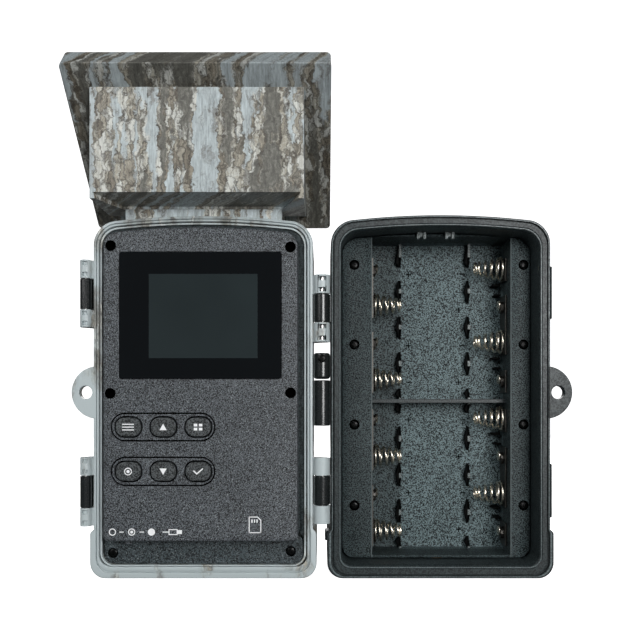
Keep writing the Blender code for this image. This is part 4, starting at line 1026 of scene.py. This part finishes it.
def cell_combs():
    """Low ribs that part the cells: hollow flanks in near-black, a painted shade, a flat cap in paler grey, a
    painted highlight, and a dark wedge on each, partly the rib's side and partly its painted shadow.
    """
    spans = []
    for bank, low, high in ((CELL_Z[:4], PARTITION_Z + 0.8, BAY_HIGH),
                            (CELL_Z[4:], BAY_LOW, PARTITION_Z - 0.8)):
        spans.append((bank[0] + RIB_FLANK, high, bank[0], None))
        spans += [(lower + RIB_FLANK, upper - RIB_FLANK, lower, upper)
                  for upper, lower in zip(bank, bank[1:])]
        spans.append((low, bank[-1] - RIB_FLANK, None, bank[-1]))
    for side, x in zip(("left", "right"), RIB_X):
        # Near-black flanks: painted shade on the hollow sides of the ribs.
        ribs = [(comb_profile(*span), x - 0.55, x + 0.55, "X") for span in spans]
        add_piece(f"cell_comb_{side}", prisms(*ribs), "rib", "battery_case")
        # Paler grey caps: a painted highlight along the rib tops.
        caps = [(rectangle(x - 0.5, x + 0.5, low + 0.1, high - 0.1), depth(CAP_DEPTH - 0.12),
                 depth(CAP_DEPTH + 0.3), "Y") for low, high, _, _ in spans]
        add_piece(f"comb_caps_{side}", prisms(*caps), "cap", "battery_case")
        # Dark wedges left of each rib: partly the rib's side face, partly a painted shadow of the rib.
        side_and_shadow_wedges = []
        for low, high, under, over in spans:
            foot = low - 3.6 if under else low
            head = high + 3.6 if over else high
            peak = ((low if under else head) + (high if over else foot)) / 2
            outline = [(x - 0.5, foot), (x - 0.5, head), (x - 1.7, peak + 0.3), (x - 1.7, peak - 0.3)]
            side_and_shadow_wedges.append((outline, depth(CAP_DEPTH + 0.5), depth(BAY_FLOOR + 0.3), "Y"))
        add_piece(f"comb_side_and_shadow_{side}", prisms(*side_and_shadow_wedges), "rib", "battery_case", bevel=0.15)


def tray_marks():
    """Polarity signs, mould rings and contact clips on the floor of the bays."""
    near, far = depth(BAY_FLOOR - 0.12), depth(BAY_FLOOR + 0.1)
    signs = []
    for index, z in enumerate(CELL_Z):
        plus, minus = (81.4, 104.0) if index % 2 == 0 else (102.4, 81.4)
        signs += [(bar(plus - 1.1, plus + 1.1, z - 0.22, z + 0.22), near, far, "Y"),
                  (bar(plus - 0.22, plus + 0.22, z + 0.22, z + 1.1), near, far, "Y"),
                  (bar(plus - 0.22, plus + 0.22, z - 1.1, z - 0.22), near, far, "Y"),
                  (bar(minus - 1.1, minus + 1.1, z - 0.22, z + 0.22), near, far, "Y")]
    add_piece("polarity_signs", prisms(*signs), "rib", "battery_case")
    rings = [(ring_outline(70.0, z, 1.7, 0.25, (2, 358)), near, far, "Y") for z in (128.4, 88.6, 58.6, 26.0)]
    add_piece("mould_rings", prisms(*rings), "case", "battery_case")
    clips = []
    for z in (113.2, 83.2, 52.0, 21.6):
        clips += [(rectangle(115.4, 118.6, z + 1.6, z + 2.5), depth(24.5), depth(BAY_FLOOR + 0.1), "Y"),
                  (rectangle(116.4, 118.9, z - 2.4, z - 1.6), depth(24.5), depth(BAY_FLOOR + 0.1), "Y")]
    add_piece("contact_clips", prisms(*clips), "rib", "battery_case", bevel=0.15)


def battery_tray():
    """The screwed-in block with two shelves, two bays and a partition."""
    half, low, high = 37.2, BAY_LOW - 1.1, BAY_HIGH + 1.1
    rings = []
    for inset, below in ((0, CASE_FLOOR), (0, TRAY_TOP + 0.5), (0.15, TRAY_TOP + 0.15), (0.5, TRAY_TOP)):
        outline = housing_outline(CASE_X, half - inset, low + inset, high - inset, 4.7 - inset, 5.7 - inset)
        rings.append((outline, depth(below)))
    bay = prism(rectangle(*BAY, BAY_LOW, BAY_HIGH), depth(TRAY_TOP - 1), depth(BAY_FLOOR))
    wells = [prism(arc((x, z), SCREW_WELL_RADIUS, 0, 360, 28), depth(TRAY_TOP - 1), depth(TRAY_TOP + 0.9))
             for x in TRAY_SCREW_X for z in TRAY_SCREW_Z]
    tray = carved(loft(rings), [bay] + wells)
    add_piece("cell_tray", tray, "tray", "battery_case", ("battery_tray",), bevel=0.22)
    wall = rectangle(BAY[0] - 0.3, BAY[1] + 0.3, PARTITION_Z - 0.8, PARTITION_Z + 0.8)
    partition = prism(wall, depth(19.5), depth(BAY_FLOOR + 0.3))
    add_piece("tray_partition", partition, "case", "battery_case", bevel=0.2)
    for x in TRAY_SCREW_X:
        for number, z in enumerate(TRAY_SCREW_Z):
            side = "left" if x < CASE_X else "right"
            face = depth(TRAY_TOP + 0.78)
            add_screw(f"tray_screw_{side}_{number + 1}", (x, z), face, 1.35, "battery_case", 0.25)
            # A near-black ring around each screw: painted shade in the gap of its well.
            ring = prism(ring_outline(x, z, 2.02, 0.6, (2, 358)), depth(TRAY_TOP + 0.5),
                         depth(TRAY_TOP + 0.9))
            add_piece(f"tray_screw_rim_{side}_{number + 1}", ring, "hole", "battery_case")
    pins = ((63.0, 128.9), (63.6, 8.8), (123.6, 127.6), (125.5, 8.9))
    for number, spot in enumerate(pins):
        ring = prism(ring_outline(*spot, 0.75, 0.25, (2, 358)), depth(TRAY_TOP - 0.1), depth(TRAY_TOP + 0.1))
        add_piece(f"pin_mark_{number + 1}", ring, "rib", "battery_case")
    for number, x in enumerate((84.3, 95.4)):
        hook = prisms((rectangle(x - 1.9, x - 0.6, 131.3, 134.2), depth(9.6), depth(TRAY_TOP + 0.4), "Y"),
                      (rectangle(x + 0.6, x + 1.9, 131.3, 134.2), depth(9.6), depth(TRAY_TOP + 0.4), "Y"),
                      (rectangle(x - 0.7, x + 0.7, 132.2, 134.2), depth(10.4), depth(TRAY_TOP + 0.4), "Y"))
        # The hooks take the paler cap grey: painted glints on them.
        add_piece(f"top_hook_{number + 1}", hook, "cap", "battery_case", bevel=0.25)
    cell_combs()
    tray_marks()


def spring_coil(side, z):
    """A conical coil with two flat end turns, as a round wire."""
    start = BAY[1] - 1.5 if side > 0 else BAY[0] + 1.5
    turns, per_turn = 5.6, 18
    steps = int(turns * per_turn)
    curve = bpy.data.curves.new("coil", "CURVE")
    curve.dimensions = "3D"
    curve.bevel_depth = 0.45 * MM
    curve.bevel_resolution = 2
    curve.use_fill_caps = True
    spline = curve.splines.new("POLY")
    spline.points.add(steps)
    for step, point in enumerate(spline.points):
        share = step / steps
        turn = share * turns
        climb = min(max((turn - 0.8) / (turns - 1.5), 0.0), 1.0)
        angle = 2 * math.pi * turn
        radius = 4.6 - 2.3 * climb
        x = start - side * (0.25 + 10.3 * climb)
        y = depth(SPRING_DEPTH) + radius * math.cos(angle)
        point.co = (x * MM, y * MM, (z + SPRING_RISE + radius * math.sin(angle)) * MM, 1)
    carrier = bpy.data.objects.new("carrier", curve)
    mesh = bpy.data.meshes.new_from_object(carrier)
    bpy.data.objects.remove(carrier)
    return mesh


def springs():
    for index, z in enumerate(CELL_Z):
        side = 1 if index % 2 == 0 else -1
        node = f"battery_spring_{index + 1}"
        add_piece(f"coil_{index + 1}", spring_coil(side, z), "spring", "battery_case", (node,),
                  angle=60)
        inner = BAY[0] + 1.8 if side > 0 else BAY[1] - 1.8
        reach = (inner, inner + 1.2) if side > 0 else (inner - 1.2, inner)
        tip = prism(arc((depth(SPRING_DEPTH), z + SPRING_RISE), 2.0, 0, 360, 20), *reach, "X")
        add_piece(f"contact_tip_{index + 1}", tip, "spring", "battery_case", bevel=0.6)


# Hood

def place_on_slope(mesh):
    """Moves a mesh from the plate's own axes, across, down the slope and out, to its place."""
    tilt = Matrix.Rotation(math.radians(-PLATE_TILT), 4, "X")
    mesh.transform(Matrix.Translation(Vector((0, *PLATE_TOP_EDGE)) * MM) @ tilt)
    return mesh


def under_plate(y):
    """Height of the box's sloped side, a little below the plate, at a Y."""
    return PLATE_TOP_EDGE[1] - (y - PLATE_TOP_EDGE[0]) * math.tan(math.radians(PLATE_TILT)) - 0.1


def solar_tray():
    half, length, thick = PLATE_HALF_WIDTH, PLATE_LENGTH, PLATE_THICKNESS
    tray = prism(rectangle(-half, half, 0, length, 1.8, 12), 0, thick, "Z")
    tools = [
        prism(rectangle(-half + 3, half - 3, 3, length - 3, 2, 8), thick - 1.8, thick + 2, "Z"),
        prism(rectangle(-half + 6, half - 6, 6, length - 6, 2, 8), 2, thick + 2, "Z"),
    ]
    add_piece("solar_tray", place_on_slope(carved(tray, tools)), "bark_plate", "front_housing",
              ("solar_frame",), bevel=1.0, segments=4, angle=50)


def funnel(rear, front, low):
    """The shallow hollow under the box: half width and roof height at its rear and at the neck."""
    rings = []
    for y, (half, roof, foot) in ((HOOD_REAR_Y - 1, rear), (NECK_REAR_Y, front)):
        rings.append(([(-foot, low), (foot, low), (half, roof), (-half, roof)], y))
    return loft(rings)


def hood():
    solar_tray()
    rear = HOOD_REAR_Y
    crest = PLATE_TOP_EDGE[0] + (PLATE_TOP_EDGE[1] - 0.1 - HOOD_HIGH) / math.tan(math.radians(PLATE_TILT))
    wedge = [
        (rear, HOOD_LOW), (HOOD_FLAT_END, HOOD_LOW), HOOD_TIP, (HOOD_TIP[0], under_plate(HOOD_TIP[0])),
        (crest, HOOD_HIGH), (rear, HOOD_HIGH)]
    inside = [(rear + 2, 145), (HOOD_TIP[0] + 12, 145), (rear + 2, HOOD_HIGH + 12)]
    hollow = funnel((38.0, 143.1, 35.8), (30.4, 141.9, 30.4), HOOD_LOW - 2)
    half = HOOD_HALF_WIDTH
    shell = carved(prism(wedge, -half, half, "X"), [prism(inside, -half + 2, half - 2, "X"), hollow])
    add_piece("hood_box", shell, "bark_box", "front_housing", ("hood_shell",), bevel=0.8,
              segments=3, angle=40)
    step = NECK_HALF_WIDTH / 8
    crown = [(step * side, FRONT_TOP - 0.1 - (step * side) ** 2 / (2 * CROWN_RADIUS))
             for side in range(-8, 9)]
    neck = prism(crown + [(NECK_HALF_WIDTH, 146), (-NECK_HALF_WIDTH, 146)], NECK_REAR_Y, NECK_FRONT_Y)
    above = [
        (NECK_REAR_Y - 2, HOOD_LOW + 0.1), (HOOD_FLAT_END, HOOD_LOW + 0.1), (HOOD_TIP[0], HOOD_TIP[1] + 0.1),
        (HOOD_TIP[0], 150), (NECK_REAR_Y - 2, 150)]
    neck = carved(neck, [prism(above, -40, 40, "X")])
    add_piece("hood_pedestal", neck, "bark_neck", "front_housing", ("hood_neck",),
              bevel=0.3)


# Lens side

def lens_side():
    ring = [(11.2, 23.6), (12.6, 23.9), (12.9, 24.4), (12.9, 25.4), (12.4, 25.8), (11.6, 25.8), (11.2, 25.4)]
    add_piece("lens_ring", turned(ring, (0, 0, LENS_Z)), "bezel", "front_housing")
    profile = [(7.3, 22.0), (7.6, 22.0), (8.4, 25.0), (10.0, 25.5), (10.6, 25.3), (10.8, 24.6), (10.8, 6.0),
               (7.3, 6.0)]
    add_piece("lens_tube", turned(profile, (0, 0, LENS_Z)), "bezel", "front_housing", ("lens_barrel",))
    dome = [(0, 19.0), (6.2, 19.0), (6.2, 20.6)]
    for angle in [math.radians(10 * step) for step in range(1, 9)]:
        dome.append((6.2 * math.cos(angle), 20.6 + 2.2 * math.sin(angle)))
    dome.append((0, 22.8))
    add_piece("lens_element", turned(dome, (0, 0, LENS_Z)), "glass", "front_housing", ("lens_glass",))


def main():
    make_camera()
    make_stage()
    make_materials()
    restyle("panel", "power_switch_slider")
    restyle("screen", "screen_window")
    restyle("display", "lcd_module")
    restyle("board", "main_board", "ir_led_board", "image_sensor", "charge_board")
    restyle("steel", "usb_socket", "card_socket", "power_switch_body", "pir_sensor")
    restyle("contact", *[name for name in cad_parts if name.startswith("battery_contact")])
    restyle("pin", "hinge_pin_upper", "hinge_pin_lower", "latch_pin_upper", "latch_pin_lower")
    restyle("brass", "tripod_insert")
    restyle("barrel", "latch_upper", "latch_lower")
    restyle("case", "strap_bracket")
    restyle("bezel", "front_bezel")
    restyle("ir_cover", "ir_window")
    restyle("fresnel", "pir_lens")
    restyle("solar", "solar_panel")
    restyle("sleeve", "hood_battery")
    front_housing()
    hinge_parts()
    ear_parts()
    control_panel()
    keypad()
    panel_prints()
    panel_screws()
    battery_case()
    battery_tray()
    springs()
    hood()
    lens_side()


main()
